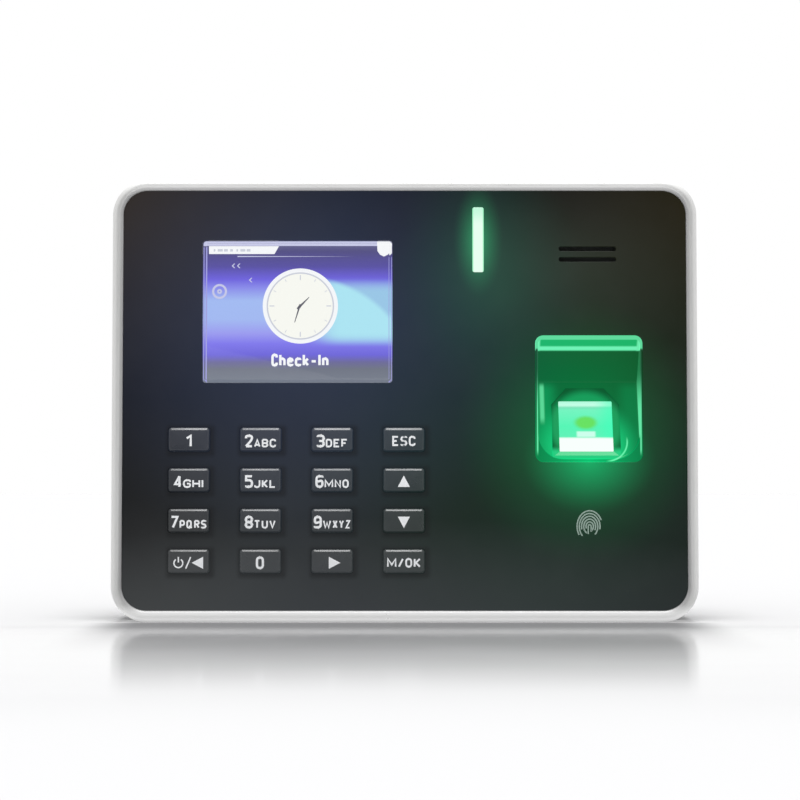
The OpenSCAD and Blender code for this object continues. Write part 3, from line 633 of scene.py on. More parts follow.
def across_at(points, i, closed):
    """Direction across a chain of points at point i, and how much wider the line is there."""
    here = Vector(points[i])
    ways = []
    if closed or i > 0:
        ways.append((here - Vector(points[i - 1])).normalized())
    if closed or i < len(points) - 1:
        ways.append((Vector(points[(i + 1) % len(points)]) - here).normalized())
    along = sum(ways, Vector((0, 0))).normalized()
    return Vector((-along.y, along.x)), min(1.6, 1 / max(0.3, along.dot(ways[0])))


def pen(name, points, weight, y, depth=PRINT_T):
    """A printed line weight wide along a chain of points; it is a loop if it ends where it starts."""
    closed = points[0] == points[-1]
    if closed:
        points = points[:-1]
    loops = []
    for i, point in enumerate(points):
        across, widen = across_at(points, i, closed)
        left = Vector(point) + across * widen * weight / 2
        right = Vector(point) - across * widen * weight / 2
        loops.append([(left.x, y, left.y), (right.x, y, right.y),
                      (right.x, y - depth, right.y), (left.x, y - depth, left.y)])
    return loft(name, loops, ring=closed)


def soften(points, radius):
    """Rounds the corners of a chain of points, and of its end too if it is a loop."""
    closed = points[0] == points[-1]
    corners = points[:-1] if closed else points
    smooth = []
    for i, point in enumerate(corners):
        if not closed and i in (0, len(corners) - 1):
            smooth.append(point)
            continue
        here = Vector(point)
        ends = []
        for other in (corners[i - 1], corners[(i + 1) % len(corners)]):
            way = Vector(other) - here
            ends.append(here + way.normalized() * min(radius, way.length / 2))
        for k in range(7):
            t = k / 6
            smooth.append(tuple(ends[0] * (1 - t) ** 2 + here * 2 * t * (1 - t) + ends[1] * t ** 2))
    return smooth + smooth[:1] if closed else smooth


# Characters on a grid of columns, 0 to 4 or more, and rows, 0 to 8. Commas part the strokes of one
# character, each point of a stroke is its column and its row, and ~ rounds a stroke's corners.
GLYPHS = {
    "0": "~48 08 00 40 48", "1": "06 28 20", "2": "~06 08 48 45 00, 00 40",
    "3": "~07 08 48 44 14, ~14 44 40 00 01", "4": "30 38, 38 02 42", "5": "48 08 04, ~05 45 40 00 01",
    "6": "~47 48 08 00 40 45 14, 14 04", "7": "08 48 10", "8": "~48 08 04 44 48, ~44 04 00 40 44",
    "9": "~01 00 40 48 08 03 34, 34 44",
    "A": "00 28 40, 12 32", "B": "00 08, ~08 48 44 04, ~04 44 40 00", "C": "~46 48 08 00 40 42",
    "D": "00 08, ~08 48 40 00", "E": "48 08 00 40, 04 34", "F": "48 08 00, 04 34",
    "G": "~46 48 08 00 40 44, 24 44", "H": "08 00, 48 40, 04 44", "I": "08 00", "J": "~48 40 00 02",
    "K": "08 00, 48 03, 14 40", "L": "08 00 40",
    "M": "00 08 32 68 60", "N": "00 08 40 48", "O": "~48 08 00 40 48", "P": "00 08, ~08 48 43 03",
    "Q": "~48 08 00 40 48, 22 50", "R": "00 08, ~08 48 44 04, 24 40", "S": "~47 48 08 04 44 40 00 01",
    "T": "08 48, 28 20", "U": "~08 00 40 48", "V": "08 20 48", "W": "08 20 46 60 88", "X": "08 40, 48 00",
    "Y": "08 24 48, 24 20", "Z": "08 48 00 40", "/": "00 38", "-": "03 43",
    "c": "~44 45 05 00 40 41", "e": "03 43, ~43 45 05 00 40 41", "h": "08 00, ~04 05 45 40",
    "k": "08 00, 45 02, 13 40", "n": "05 00, ~04 05 45 40",
}
COLUMNS = 4
ROWS = 8


def lettering(name, text, x, z, width, height, weight, y, gap=0.16):
    """Bold narrow characters of a height, standing on z, that fill a width from x to the right."""
    strokes = {c: [s.strip() for s in GLYPHS[c].split(",")] for c in text}
    spans = [max(int(p[0]) for s in strokes[c] for p in s.strip("~").split()) / COLUMNS for c in text]
    free = width - len(text) * weight - (len(text) - 1) * gap * height
    across = free / max(sum(spans), 0.1)
    rise = (height - weight) / ROWS
    parts = []
    left = x + weight / 2
    for c, span in zip(text, spans):
        for layer, stroke in enumerate(strokes[c]):
            points = [(left + int(p[0]) / COLUMNS * across, z + weight / 2 + int(p[1]) * rise)
                      for p in stroke.strip("~").split()]
            if stroke.startswith("~"):
                points = soften(points, 0.55 * across)
            # Strokes that cross are of unlike thickness, so that no two faces coincide.
            parts.append(pen("stroke", points, weight, y, PRINT_T + 0.006 * layer))
        left += span * across + weight + gap * height
    return join(name, parts)


def flat_shape(name, outline, x, y, z):
    """A thin raised shape that faces the viewer."""
    return loft(name, [at(outline, x, y, z), at(outline, x, y - PRINT_T, z)])


def ring_shape(name, r_in, r_out, x, y, z, depth=PRINT_T, steps=96):
    """A thin ring that faces the viewer."""
    loops = []
    for k in range(steps):
        a = math.radians(360 * k / steps)
        section = [(r_in, y), (r_out, y), (r_out, y - depth), (r_in, y - depth)]
        loops.append([(x + r * math.cos(a), d, z + r * math.sin(a)) for r, d in section])
    return loft(name, loops, ring=True)


# ---------------------------------------------------------------- bezel


def bezel_section():
    """Section of the bezel: distance in from the outline, and depth behind the bezel's front."""
    edge_r = 2.0
    ledge = FACE_Y - FRONT_Y + PANEL_T + 0.05
    depth = SPLIT_Y - FRONT_Y
    section = [(0.4, depth), (0.1, depth - 0.15), (0, depth - 0.4)]
    for k in range(9):
        a = math.pi + math.pi / 2 * k / 8
        section.append((edge_r + edge_r * math.cos(a), edge_r + edge_r * math.sin(a)))
    section += [(2.3, 0), (2.55, 0.04), (2.85, 0.18), (3.25, 0.44), (3.36, 0.58), (BAND, 0.8)]
    section += [(BAND, ledge), (LEDGE_W, ledge), (LEDGE_W, ledge + LEDGE_T)]
    section += [(WALL, ledge + LEDGE_T), (WALL, depth)]
    return section


def make_bezel():
    """Sweeps the section round the outline, with fine steps in the corners."""
    section = bezel_section()
    steps = 24
    loops = []
    for corner in range(4):
        sx, sz = (1, -1, -1, 1)[corner], (1, 1, -1, -1)[corner]
        cx, cz = sx * (CASE_W / 2 - CORNER_R), CASE_Z + sz * (CASE_H / 2 - CORNER_R)
        for k in range(steps + 1):
            a = math.pi / 2 * (corner + k / steps)
            loops.append([(cx + (CORNER_R - u) * math.cos(a), FRONT_Y + v, cz + (CORNER_R - u) * math.sin(a))
                          for u, v in section])
    seat(loft("bezel", loops, sharp=40, ring=True), bezel_shader(), replaces=["bezel_frame"])


def bezel_shader():
    """Satin silver, darker down the inner edge, with painted light as emission along its foot and its head.
    """
    silver = (0.64, 0.64, 0.63, 1)
    s = plastic("bezel_satin", silver, 0.32, grain=1.5, depth=0.0005, Coat_Roughness=0.15)
    middle = s.vector("SUBTRACT", s.place(), (0, 0, CASE_Z))
    straight = (CASE_W / 2 - CORNER_R, 1 / MM, CASE_H / 2 - CORNER_R)
    beyond = s.vector("MAXIMUM", s.vector("SUBTRACT", s.vector("ABSOLUTE", middle), straight), (0, 0, 0))
    inset = s.math("SUBTRACT", CORNER_R, s.vector("LENGTH", beyond))
    start, end = 2.2, 2.9
    outer = s.mix(s.noise(14, 4), silver, srgb(214, 214, 213))
    s.put("Base Color", s.mix(s.fade(inset, start, end), outer, (0.4, 0.4, 0.4, 1)))
    s.put("Metallic", s.fade(inset, start, end, 0.5, 0.0))
    s.put("Coat Weight", s.fade(inset, start, end, 0.15, 0.0))
    _, _, z = s.axes()
    # Painted light: emission along the foot stands in for the floor's reflection, and along the head for the
    # light overhead.
    foot = s.fade(z, 6, 2, 0, 0.34)
    head = s.fade(z, CASE_H - 6, CASE_H - 1, 0, 0.22)
    s.light(s.mix(s.math("MAXIMUM", foot, head), BLACK, WHITE))
    return s.material


# ---------------------------------------------------------------- panel and keys


def make_panel():
    """The black front panel, with every opening's edge rounded."""
    inset = BAND + 0.1
    outline = shifted(rounded(CASE_W - 2 * inset, CASE_H - 2 * inset, CORNER_R - inset, 20), 0, CASE_Z)
    holes = [shifted(rounded(SCREEN_W, SCREEN_H, 1, 6), SCREEN.x, SCREEN.z)]
    for key in KEYS:
        c = centre(key)
        hole = rounded(KEY_W + 2 * KEY_GAP, KEY_H + 2 * KEY_GAP, KEY_R + KEY_GAP, 5)
        holes.append(shifted(hole, c.x, c.z))
    holes.append(shifted(rounded(LIGHT_W + 0.1, LIGHT_H + 0.1, 0.6, 5), LIGHT.x, LIGHT.z))
    for side in (-0.5, 0.5):
        slot = rounded(SLOT_W, SLOT_H, SLOT_H / 2 - 0.1, 5)
        holes.append(shifted(slot, SPEAKER.x, SPEAKER.z + side * SLOT_PITCH))
    holes.append(shifted(rounded(WELL_W, WELL_H, 2.5, 6), WELL_X, WELL_Z))
    panel = plate("panel", outline, holes, FACE_Y, PANEL_BACK_Y, 0.12)
    seat(panel, MATERIALS["panel_black"], replaces=["front_panel"])


def make_key(key):
    """A keycap with a flange behind, a wide slope along its top edge and a slightly hollow face."""
    low, high = box(key)
    c = (low + high) / 2
    flange_w, flange_h = high.x - low.x, high.z - low.z
    top = low.y
    drop = 0.2
    rows = [
        (flange_w, flange_h, 1.2, high.y, 0),
        (flange_w, flange_h, 1.2, PANEL_BACK_Y + 0.05, 0),
        (KEY_W, KEY_H, KEY_R, PANEL_BACK_Y + 0.05, 0),
        (KEY_W, KEY_H, KEY_R, top + 0.66, 0),
        (KEY_W - 0.1, KEY_H - 0.1, KEY_R, top + 0.56, 0),
        (KEY_W - 0.9, KEY_H - 1.1, 0.55, top + 0.04, drop),
        (KEY_W - 1.1, KEY_H - 1.3, 0.5, top, drop),
        (KEY_W - 1.4, KEY_H - 1.6, 0.45, top + 0.005, drop),
        (KEY_W - 3.2, KEY_H - 3.2, 0.3, top + 0.04, drop),
        (KEY_W - 6.0, KEY_H - 6.0, 0.2, top + 0.05, drop),
    ]
    loops = [at(rounded(w, h, r, 5), c.x, y, c.z - down) for w, h, r, y, down in rows]
    seat(loft("cap_" + key, loops, sharp=50), MATERIALS["key_black"], BODY_OF[key], replaces=[key])


# Legend of each key: the digit, its letters and the width of both, or a word with its width and height.
LEGENDS = {
    "key_1": ("1", "", 1.9), "key_2": ("2", "ABC", 9.5), "key_3": ("3", "DEF", 9.5),
    "key_4": ("4", "GHI", 9.0), "key_5": ("5", "JKL", 9.4), "key_6": ("6", "MNO", 10.2),
    "key_7": ("7", "PQRS", 11), "key_8": ("8", "TUV", 9.4), "key_9": ("9", "WXYZ", 11.2),
    "key_0": ("0", "", 2.6),
}
WORDS = {"key_esc": ("ESC", 7.1, 3.1), "key_menu_ok": ("M/OK", 10.3, 2.9)}
# Which way each arrow points, and how far it is from the middle of its key.
ARROWS = {"key_up": (90, 0), "key_down": (-90, 0), "key_right": (0, 0.7), "key_power_left": (180, 2.9)}
ARROW = [(1.0, 0), (-0.9, 1.0), (-0.9, -1.0)]
ARROW_SIZE = 1.85
DIGIT_W = 2.5
DIGIT_H = 3.9
LETTER_H = 2.6
LETTERS_GAP = 0.3
LEGEND_DROP = 0.45
LEGEND_WHITE = legend_shader()


def make_legend(key):
    """White print on a key, a hair's breadth proud of it."""
    low, high = box(key)
    x = (low.x + high.x) / 2
    z = (low.z + high.z) / 2 - LEGEND_DROP
    y = low.y + 0.015
    parts = []
    if key in LEGENDS:
        digit, letters, width = LEGENDS[key]
        left, foot = x - width / 2, z - DIGIT_H / 2
        digit_w = min(width, DIGIT_W)
        parts.append(lettering("digit", digit, left, foot, digit_w, DIGIT_H, 0.7, y))
        if letters:
            used = digit_w + LETTERS_GAP
            parts.append(lettering("letters", letters, left + used, foot, width - used, LETTER_H, 0.52, y))
    if key in WORDS:
        word, width, height = WORDS[key]
        parts.append(lettering("word", word, x - width / 2, z - height / 2, width, height, 0.56, y))
    if key in ARROWS:
        degrees, shift = ARROWS[key]
        parts.append(flat_shape("arrow", turned(ARROW, degrees, ARROW_SIZE), x + shift, y, z))
    if key == "key_power_left":
        parts += power_sign(x, y, z)
    seat(join("legend_" + key, parts), LEGEND_WHITE, BODY_OF[key], slot=SLOT_OF[key])


def power_sign(x, y, z):
    """The lines of a power sign and of the slash after it, on a key whose middle is at x."""
    ring_x, ring_r, weight = x - 3, 1.35, 0.42
    sweep = [math.radians(125 + 290 * k / 24) for k in range(25)]
    ring = [(ring_x + ring_r * math.cos(a), z - 0.1 + ring_r * math.sin(a)) for a in sweep]
    bar = [(ring_x, z + 0.1), (ring_x, z + 1.8)]
    slash = [(x - 0.75, z - 1.75), (x + 0.75, z + 1.75)]
    return [pen("line", points, weight, y) for points in (ring, bar, slash)]


# ---------------------------------------------------------------- screen

SCREEN_FRONT = box("display_glass")[0].y
LAYER = 0.03
MARKS = {
    "mark_white": lamp("mark_white", srgb(250, 252, 255)),
    "mark_cream": lamp("mark_cream", srgb(252, 253, 246)),
    "mark_grey": lamp("mark_grey", srgb(206, 210, 222)),
    "mark_dark": lamp("mark_dark", srgb(92, 92, 104)),
    "mark_pale": lamp("mark_pale", srgb(206, 208, 240), 0.95),
    # Painted highlight of the window's bevel, drawn on the screen at its sides.
    "mark_bevel_highlight": lamp("mark_bevel_highlight", srgb(166, 166, 230), 0.95),
}


def on_screen(piece, mark):
    seat(piece, MARKS[mark], slot="screen_glass")


def make_screen():
    """The lit face with its backdrop, then the marks on it, layer by layer."""
    low, high = box("display_glass")
    w, h = high.x - low.x, high.z - low.z
    rows = [(w, h, 0.4, high.y), (w, h, 0.4, low.y + 0.1), (w - 0.2, h - 0.2, 0.3, low.y)]
    face = stack("screen_face", rows, SCREEN.x, SCREEN.z, 2)
    seat(face, screen_shader(), replaces=["display_glass"])
    make_clock()
    make_status_bar()
    label = lettering("screen_label", "Check-In", SCREEN.x - 8.2, SCREEN.z - 16.7, 17.6, 3.9, 0.75,
                      SCREEN_FRONT - LAYER, gap=0.1)
    on_screen(label, "mark_white")


def make_clock():
    """A clock face at half past one: rim, dial, hour marks and two hands."""
    x, z = SCREEN.x + 0.7, SCREEN.z + 1.9
    y = SCREEN_FRONT - LAYER
    on_screen(ring_shape("clock_rim", 10.4, 11.6, x, y, z), "mark_white")
    on_screen(ring_shape("clock_band", 9.9, 10.45, x, y, z, 0.02), "mark_grey")
    on_screen(flat_shape("clock_dial", rounded(19.9, 19.9, 9.94, 24), x, y, z), "mark_cream")
    outer = 9.5
    ticks = []
    for hour in range(12):
        long, side = (1.5, 0.16) if hour % 3 == 0 else (0.9, 0.1)
        shape = [(outer - long, -side), (outer, -side), (outer, side), (outer - long, side)]
        ticks.append(flat_shape("tick", turned(shape, 30 * hour), x, y - LAYER, z))
    on_screen(join("clock_ticks", ticks), "mark_grey")
    hub_x, hub_z = x - 0.3, z - 0.3
    hands = []
    for degrees, length, width in ((45, 4.3, 0.34), (-107, 5.0, 0.26)):
        shape = [(-0.9, -width), (0.3, -width), (length, -0.1), (length, 0.1), (0.3, width), (-0.9, width)]
        hands.append(flat_shape("hand", turned(shape, degrees), hub_x, y - LAYER, hub_z))
    hands.append(flat_shape("hub", rounded(0.9, 0.9, 0.44, 6), hub_x, y - 1.5 * LAYER, hub_z))
    on_screen(join("clock_hands", hands), "mark_dark")


def make_status_bar():
    """Painted highlights of the window's bevel along the top and both sides, the title tab, a badge and a
    few small signs.
    """
    y = SCREEN_FRONT - LAYER
    top = SCREEN.z + SCREEN_H / 2
    left = SCREEN.x - SCREEN_W / 2
    right = SCREEN.x + SCREEN_W / 2
    bar_z = top - 1.75
    tab = [(0, -1.25), (20.2, -1.25), (21.6, 1.2), (0, 1.2)]
    badge = [(2.1, 1.9), (2.0, -0.4), (1.2, -1.5), (0, -2.1), (-1.2, -1.5), (-2.0, -0.4), (-2.1, 1.9)]
    white = [flat_shape("tab", tab, left + 1.7, y - 0.01, bar_z - 1.0),
             flat_shape("badge", badge, right - 2.7, y - 0.01, bar_z - 0.9)]
    on_screen(join("screen_bar", white), "mark_white")
    # Painted highlights of the window's bevel along both sides.
    sides = [flat_shape("edge", rounded(0.3, SCREEN_H - 6, 0.1, 4), right - 1.12, y, SCREEN.z - 1.8),
             flat_shape("edge", rounded(0.22, SCREEN_H - 3, 0.1, 4), left + 1.08, y, SCREEN.z - 0.3)]
    on_screen(join("screen_sides", sides), "mark_bevel_highlight")
    rule = [(0, -0.16), (24, -0.05), (36, 0.0), (24, 0.05), (0, 0.16)]
    ring_x, ring_z = SCREEN.x - 24.2, SCREEN.z + 6.4
    signs = [flat_shape("rule", rule, left + 10.5, y, bar_z - 3.0),
             # Painted highlight of the window's bevel along the top.
             flat_shape("edge", rounded(SCREEN_W - 1, 1.05, 0.3, 4), SCREEN.x, y, top - 0.95),
             ring_shape("dial_ring", 1.65, 2.3, ring_x, y, ring_z, steps=40),
             ring_shape("dial_dot", 0.25, 0.75, ring_x, y, ring_z, steps=20)]
    chevron = [(-0.15, 0), (0.5, -0.7), (0.1, -0.7), (-0.6, 0), (0.1, 0.7), (0.5, 0.7)]
    for x, z in ((-19.9, 14.3), (-18.3, 14.3), (-14.6, 9.9)):
        signs.append(flat_shape("chevron", chevron, SCREEN.x + x, y, SCREEN.z + z))
    on_screen(join("screen_signs", signs), "mark_pale")
    dashes = []
    for i in range(7):
        dash = rounded(0.5 + 0.35 * (i * 3 % 4), 0.75, 0.1, 2)
        dashes.append(flat_shape("dash", dash, left + 3.4 + 1.75 * i, y - LAYER - 0.02, bar_z - 1.1))
    on_screen(join("screen_dashes", dashes), "mark_grey")


def make_window():
    """The clear window, with a wide bevel round its front face and a flange behind the panel."""
    low, high = box("screen_window")
    flange_w, flange_h = high.x - low.x, high.z - low.z
    w, h = SCREEN_W - 0.3, SCREEN_H - 0.3
    rows = [
        (flange_w, flange_h, 1.5, high.y),
        (flange_w, flange_h, 1.5, PANEL_BACK_Y),
        (w, h, 0.9, PANEL_BACK_Y),
        (w, h, 0.9, low.y + 0.75),
        (w - 0.12, h - 0.12, 0.86, low.y + 0.65),
        (w - 1.6, h - 1.6, 0.5, low.y + 0.03),
        (w - 1.8, h - 1.8, 0.5, low.y),
    ]
    seat(stack("window", rows, SCREEN.x, SCREEN.z, sharp=20), clear_shader(), replaces=["screen_window"])


# ---------------------------------------------------------------- status light and speaker


def make_status_light():
    """The light pipe's bar, brightest along its middle, with its flange behind the panel."""
    low, high = box("status_light_pipe")
    flange_w, flange_h = high.x - low.x, high.z - low.z
    rows = [
        (LIGHT_W, LIGHT_H, 0.55, high.y),
        (LIGHT_W, LIGHT_H, 0.55, PANEL_BACK_Y + 1),
        (flange_w, flange_h, 1, PANEL_BACK_Y + 1),
        (flange_w, flange_h, 1, PANEL_BACK_Y),
        (LIGHT_W, LIGHT_H, 0.55, PANEL_BACK_Y),
        (LIGHT_W, LIGHT_H, 0.55, FACE_Y + 0.2),
        (LIGHT_W - 0.1, LIGHT_H - 0.1, 0.5, FACE_Y + 0.06),
        (LIGHT_W - 0.4, LIGHT_H - 0.4, 0.4, FACE_Y),
    ]
    bar = stack("light_bar", rows, LIGHT.x, LIGHT.z, sharp=50)
    seat(bar, status_shader(), replaces=["status_light_pipe"])


def status_shader():
    s = Shader("status_light_lit", (0.03, 0.05, 0.04, 1), 0.25)
    x, _, z = s.axes()
    tip = s.fade(z, LIGHT.z + 4, LIGHT.z + 9.5, 0, 0.8)
    middle = s.mix(tip, srgb(232, 255, 240), srgb(186, 246, 214))
    edge = s.fade(s.off(x, LIGHT.x), 1.2, 1.75)
    s.light(s.mix(edge, middle, srgb(150, 246, 190)), 0.94)
    return s.material


def make_speaker_cloth():
    """A woven cloth behind the slots: threads over and under in both directions."""
    low, high = box("speaker_mesh")
    pitch, thread, wave = 0.5, 0.11, 0.05
    y = low.y + 0.15
    rows = int(2 * (SLOT_PITCH / 2 + SLOT_H) / pitch) + 2
    half_w = SLOT_W / 2 + 1
    half_h = rows / 2 * pitch
    columns = int(2 * half_w / pitch)
    parts = []
    for count, half, steps, is_row in ((rows, half_w, 40, True), (columns, half_h, 10, False)):
        rise = wave if is_row else -wave
        for i in range(-count // 2, count // 2 + 1):
            path = []
            for k in range(2 * steps + 1):
                along = half * (k / steps - 1)
                x, z = (along, i * pitch) if is_row else (i * pitch, along)
                depth = y + rise * math.sin(math.pi * (along / pitch + i))
                path.append((SPEAKER.x + x, depth, SPEAKER.z + z))
            parts.append(tube("thread", path, thread, 6))
    across = high.x - low.x
    disc = [(across, across, across / 2 - 0.01, depth) for depth in (high.y, high.y - 0.05)]
    parts.append(stack("backing", disc, SPEAKER.x, SPEAKER.z, 16))
    seat(join("speaker_cloth", parts), MATERIALS["speaker_cloth"], replaces=["speaker_mesh"])


# ---------------------------------------------------------------- fingerprint sensor


def glass_frame():
    """Centre of the sensor glass, and the directions up it and out of it."""
    prism = NODES["sensor_prism"].data
    faces = [f for f in prism.polygons if f.normal.y < -0.5]
    out = max(faces, key=lambda f: f.area).normal.normalized()
    up = out.cross(Vector((1, 0, 0))).normalized()
    if up.z < 0:
        up = -up
    points = [v.co / MM for v in prism.vertices]
    front = max(p.dot(out) for p in points)
    face = [p for p in points if p.dot(out) > front - 0.01]
    return sum(face, Vector()) / len(face), up, out


GLASS, GLASS_UP, GLASS_OUT = glass_frame()
GLASS_SIDE = 16.6
FRAME_PROUD = 0.9
LIP_FOOT = 83.3
LIP_HEAD = 87.1


def on_glass(points, height):
    """Lays an outline on the sensor's sloping floor, height above the glass's face."""
    return [tuple(GLASS + Vector((1, 0, 0)) * a + GLASS_UP * b + GLASS_OUT * height) for a, b in points]


def make_cup():
    """The finger well: a lip that slopes in at the top, a sloping floor and round corners."""
    low, high = box("sensor_cup")
    flange_w, flange_h = high.x - low.x, high.z - low.z
    rim_w, rim_h = WELL_W - 0.2, WELL_H - 0.2
    rows = [
        (flange_w, flange_h, 2, high.y),
        (flange_w, flange_h, 2, PANEL_BACK_Y),
        (rim_w, rim_h, 2.4, PANEL_BACK_Y),
        (rim_w, rim_h, 2.4, FACE_Y),
    ]
    cup = stack("finger_well", rows, WELL_X, WELL_Z, 8)
    cut(cup, "DIFFERENCE", well_cutter())
    cup.data.shade_smooth()
    bevel(cup, 0.16, 3, 50)
    seat(cup, well_shader(), replaces=["sensor_cup"])


def well_cutter():
    """What is hollowed out of the cup: the sloping profile cut to a round-cornered outline."""
    rim, ahead = 0.8, 2
    z0 = WELL_Z - WELL_H / 2 + rim
    z1 = WELL_Z + WELL_H / 2 - rim
    lip_depth, lip_drop = 3, 3.8
    deep_y, deep_z = FACE_Y + 8.9, 73.8
    shallow_y = FACE_Y + 0.6
    profile = [(FACE_Y - ahead, z1), (FACE_Y, z1), (FACE_Y + lip_depth, z1 - lip_drop),
               (deep_y, deep_z), (shallow_y, z0), (FACE_Y - ahead, z0)]
    half = WELL_W / 2 - rim
    ends = (WELL_X - half - 1, WELL_X + half + 1)
    cutter = loft("cutter", [[(x, y, z) for y, z in profile] for x in ends], 5)
    rows = [(2 * half, z1 - z0, (2.2, 2.2, 8, 8), y) for y in (FACE_Y - ahead - 1, deep_y + 1)]
    cut(cutter, "INTERSECT", stack("keep", rows, WELL_X, (z0 + z1) / 2, 12))
    modifier(cutter, "BEVEL", width=0.7 * MM, segments=4, limit_method="ANGLE", angle_limit=math.radians(22))
    return cutter


def gleams(s, x, z):
    """Painted highlights on the well's rim at both sides and on its rounded corner at the lower right."""
    edge = s.fade(s.off(s.off(x, WELL_X), WELL_W / 2 - 0.65), 0.34, 0.12)
    line = s.product(edge, s.fade(z, 50.5, 53), s.fade(z, 78, 64, 0.12, 1.0))
    corner_x, corner_z, corner_r = 62.4, 55.4, 6.1
    away = s.length(s.math("SUBTRACT", x, corner_x), s.math("SUBTRACT", z, corner_z))
    bend = s.product(s.fade(s.off(away, corner_r), 0.36, 0.1), s.fade(x, 61.5, 64), s.fade(z, 57, 55))
    return s.math("MAXIMUM", line, bend)


def well_shader():
    """Smoked green plastic with the sensor's light painted on as emission, brightest in painted highlights
    along the lip's two edges.
    """
    smoked = (0.001, 0.012, 0.005, 1)
    s = plastic("finger_well", smoked, 0.14, grain=1.2, depth=0.0006, Specular_IOR_Level=0.08)
    x, y, z = s.axes()
    off = s.off(x, WELL_X)
    # Painted light: the lip's glow, with painted highlights along its two edges and at its ends.
    lip = s.fade(z, LIP_FOOT - 0.3, LIP_FOOT + 0.4)
    light = s.mix(lip, (0.0, 0.07, 0.016, 1), (0.006, 0.42, 0.13, 1))
    for height, reach, colour in (
        (LIP_FOOT + 0.7, 0.9, (0.16, 0.86, 0.46, 1)),
        (LIP_HEAD - 0.1, 0.6, (0.13, 0.76, 0.38, 1)),
    ):
        light = s.mix(s.fade(s.off(z, height), reach, 0.25), light, colour)
    end = s.product(s.fade(off, 14.6, 15.3), lip)
    light = s.mix(end, light, (0.15, 0.82, 0.42, 1))
    # Painted glow on the lower walls and floor, brighter on the left, and a painted highlight streak at the
    # left.
    low = s.product(s.fade(z, 75, 71), s.fade(off, 8, 13), s.fade(z, 49, 56, 0.3, 1.0))
    side = s.mix(s.fade(x, WELL_X - 5, WELL_X + 5), (0.0, 0.21, 0.06, 1), (0.0, 0.13, 0.035, 1))
    light = s.mix(low, light, side)
    streak = s.product(s.fade(x, 43.6, 42.9), s.fade(x, 41.6, 42.3), s.fade(z, 60, 63), s.fade(z, 74, 72))
    light = s.mix(streak, light, (0.10, 0.60, 0.28, 1))
    # Painted glow round the glass, on the rim's front below and along the lip, and the painted gleams.
    below = s.length(s.math("SUBTRACT", x, GLASS.x), s.math("SUBTRACT", z, GLASS.z - 6))
    light = s.mix(s.fade(below, 17, 8), light, (0.006, 0.42, 0.14, 1))
    rim = s.mix(s.fade(z, 66, 55), BLACK, (0.001, 0.12, 0.035, 1))
    rim = s.mix(s.fade(z, LIP_FOOT, LIP_FOOT + 0.8), rim, (0.11, 0.66, 0.32, 1))
    inside = s.fade(y, FACE_Y + 0.05, FACE_Y + 0.5)
    light = s.mix(inside, rim, light)
    add_glow(s, s.mix(gleams(s, x, z), light, (0.13, 0.72, 0.36, 1)))
    return s.material


def frame_outline(half, top, corner_x, corner_z):
    """The sensor frame's outline: square at the foot and cut at both upper corners."""
    return [(-half, -half), (half, -half), (half, top - corner_z), (half - corner_x, top),
            (corner_x - half, top), (-half, top - corner_z)]


def make_sensor():
    """The raised frame with slopes down to the glass, and the lit glass itself."""
    g = GLASS_SIDE / 2
    opening = [(-g, -g), (g, -g), (g, 0.7 * g), (g, g), (-g, g), (-g, 0.7 * g)]
    crest, root = FRAME_PROUD - 0.3, -2.3
    outside = frame_outline(10.5, 12.5, 4.6, 5.4)
    loops = [
        on_glass(outside, root),
        on_glass(outside, crest - 0.25),
        on_glass(frame_outline(10.3, 12.32, 4.52, 5.32), crest),
        on_glass(frame_outline(9.8, 11.85, 4.3, 5.1), crest),
        on_glass(opening, 0.02),
        on_glass(opening, root),
    ]
    seat(loft("sensor_rim", loops, sharp=15, ring=True), frame_shader(), replaces=["sensor_frame"])
    side = GLASS_SIDE - 0.06
    plane = [on_glass(rounded(side, side, 0.3, 4), height) for height in (-3, -0.1)]
    plane.append(on_glass(rounded(side - 0.2, side - 0.2, 0.25, 4), 0))
    seat(loft("sensor_glass_face", plane), glass_shader(), replaces=["sensor_prism"])


def local_axes(s):
    """How far a surface point is across and up the glass, from its centre."""
    offset = s.vector("SUBTRACT", s.place(), GLASS)
    return s.vector("DOT_PRODUCT", offset, (1, 0, 0)), s.vector("DOT_PRODUCT", offset, GLASS_UP)


def glass_shader():
    """Green light behind the glass: white at the foot, a pale strip on top and a warm spot."""
    s = Shader("sensor_glass_lit", (0.01, 0.06, 0.035, 1), 0.05)
    across, up = local_axes(s)
    half = GLASS_SIDE / 2
    light = s.ramp(s.fade(up, -half, half, shape="LINEAR"), [
        (0.00, srgb(240, 255, 250)),
        (0.05, srgb(255, 255, 255)),
        (0.24, srgb(248, 255, 253)),
        (0.29, srgb(86, 240, 180)),
        (0.50, srgb(74, 244, 178)),
        (0.82, srgb(110, 244, 190)),
        (0.87, srgb(120, 226, 184)),
        (0.92, srgb(200, 255, 232)),
        (1.00, srgb(176, 250, 220)),
    ])
    light = s.mix(s.fade(across, 2, half, 0, 0.6), light, srgb(36, 255, 186))
    light = s.mix(s.fade(up, -3.4, -4.4), light, srgb(252, 255, 254))
    spot = s.length(across, s.product(s.math("SUBTRACT", up, 1.2), 1.6))
    light = s.mix(s.fade(spot, 4.4, 2.2), light, srgb(96, 222, 78))
    patch = s.product(s.fade(s.off(across, 0), 3.3, 2.4), s.fade(s.off(up, -2.6), 1.2, 0.6))
    s.light(s.mix(patch, light, srgb(206, 255, 236)), 0.93)
    return s.material


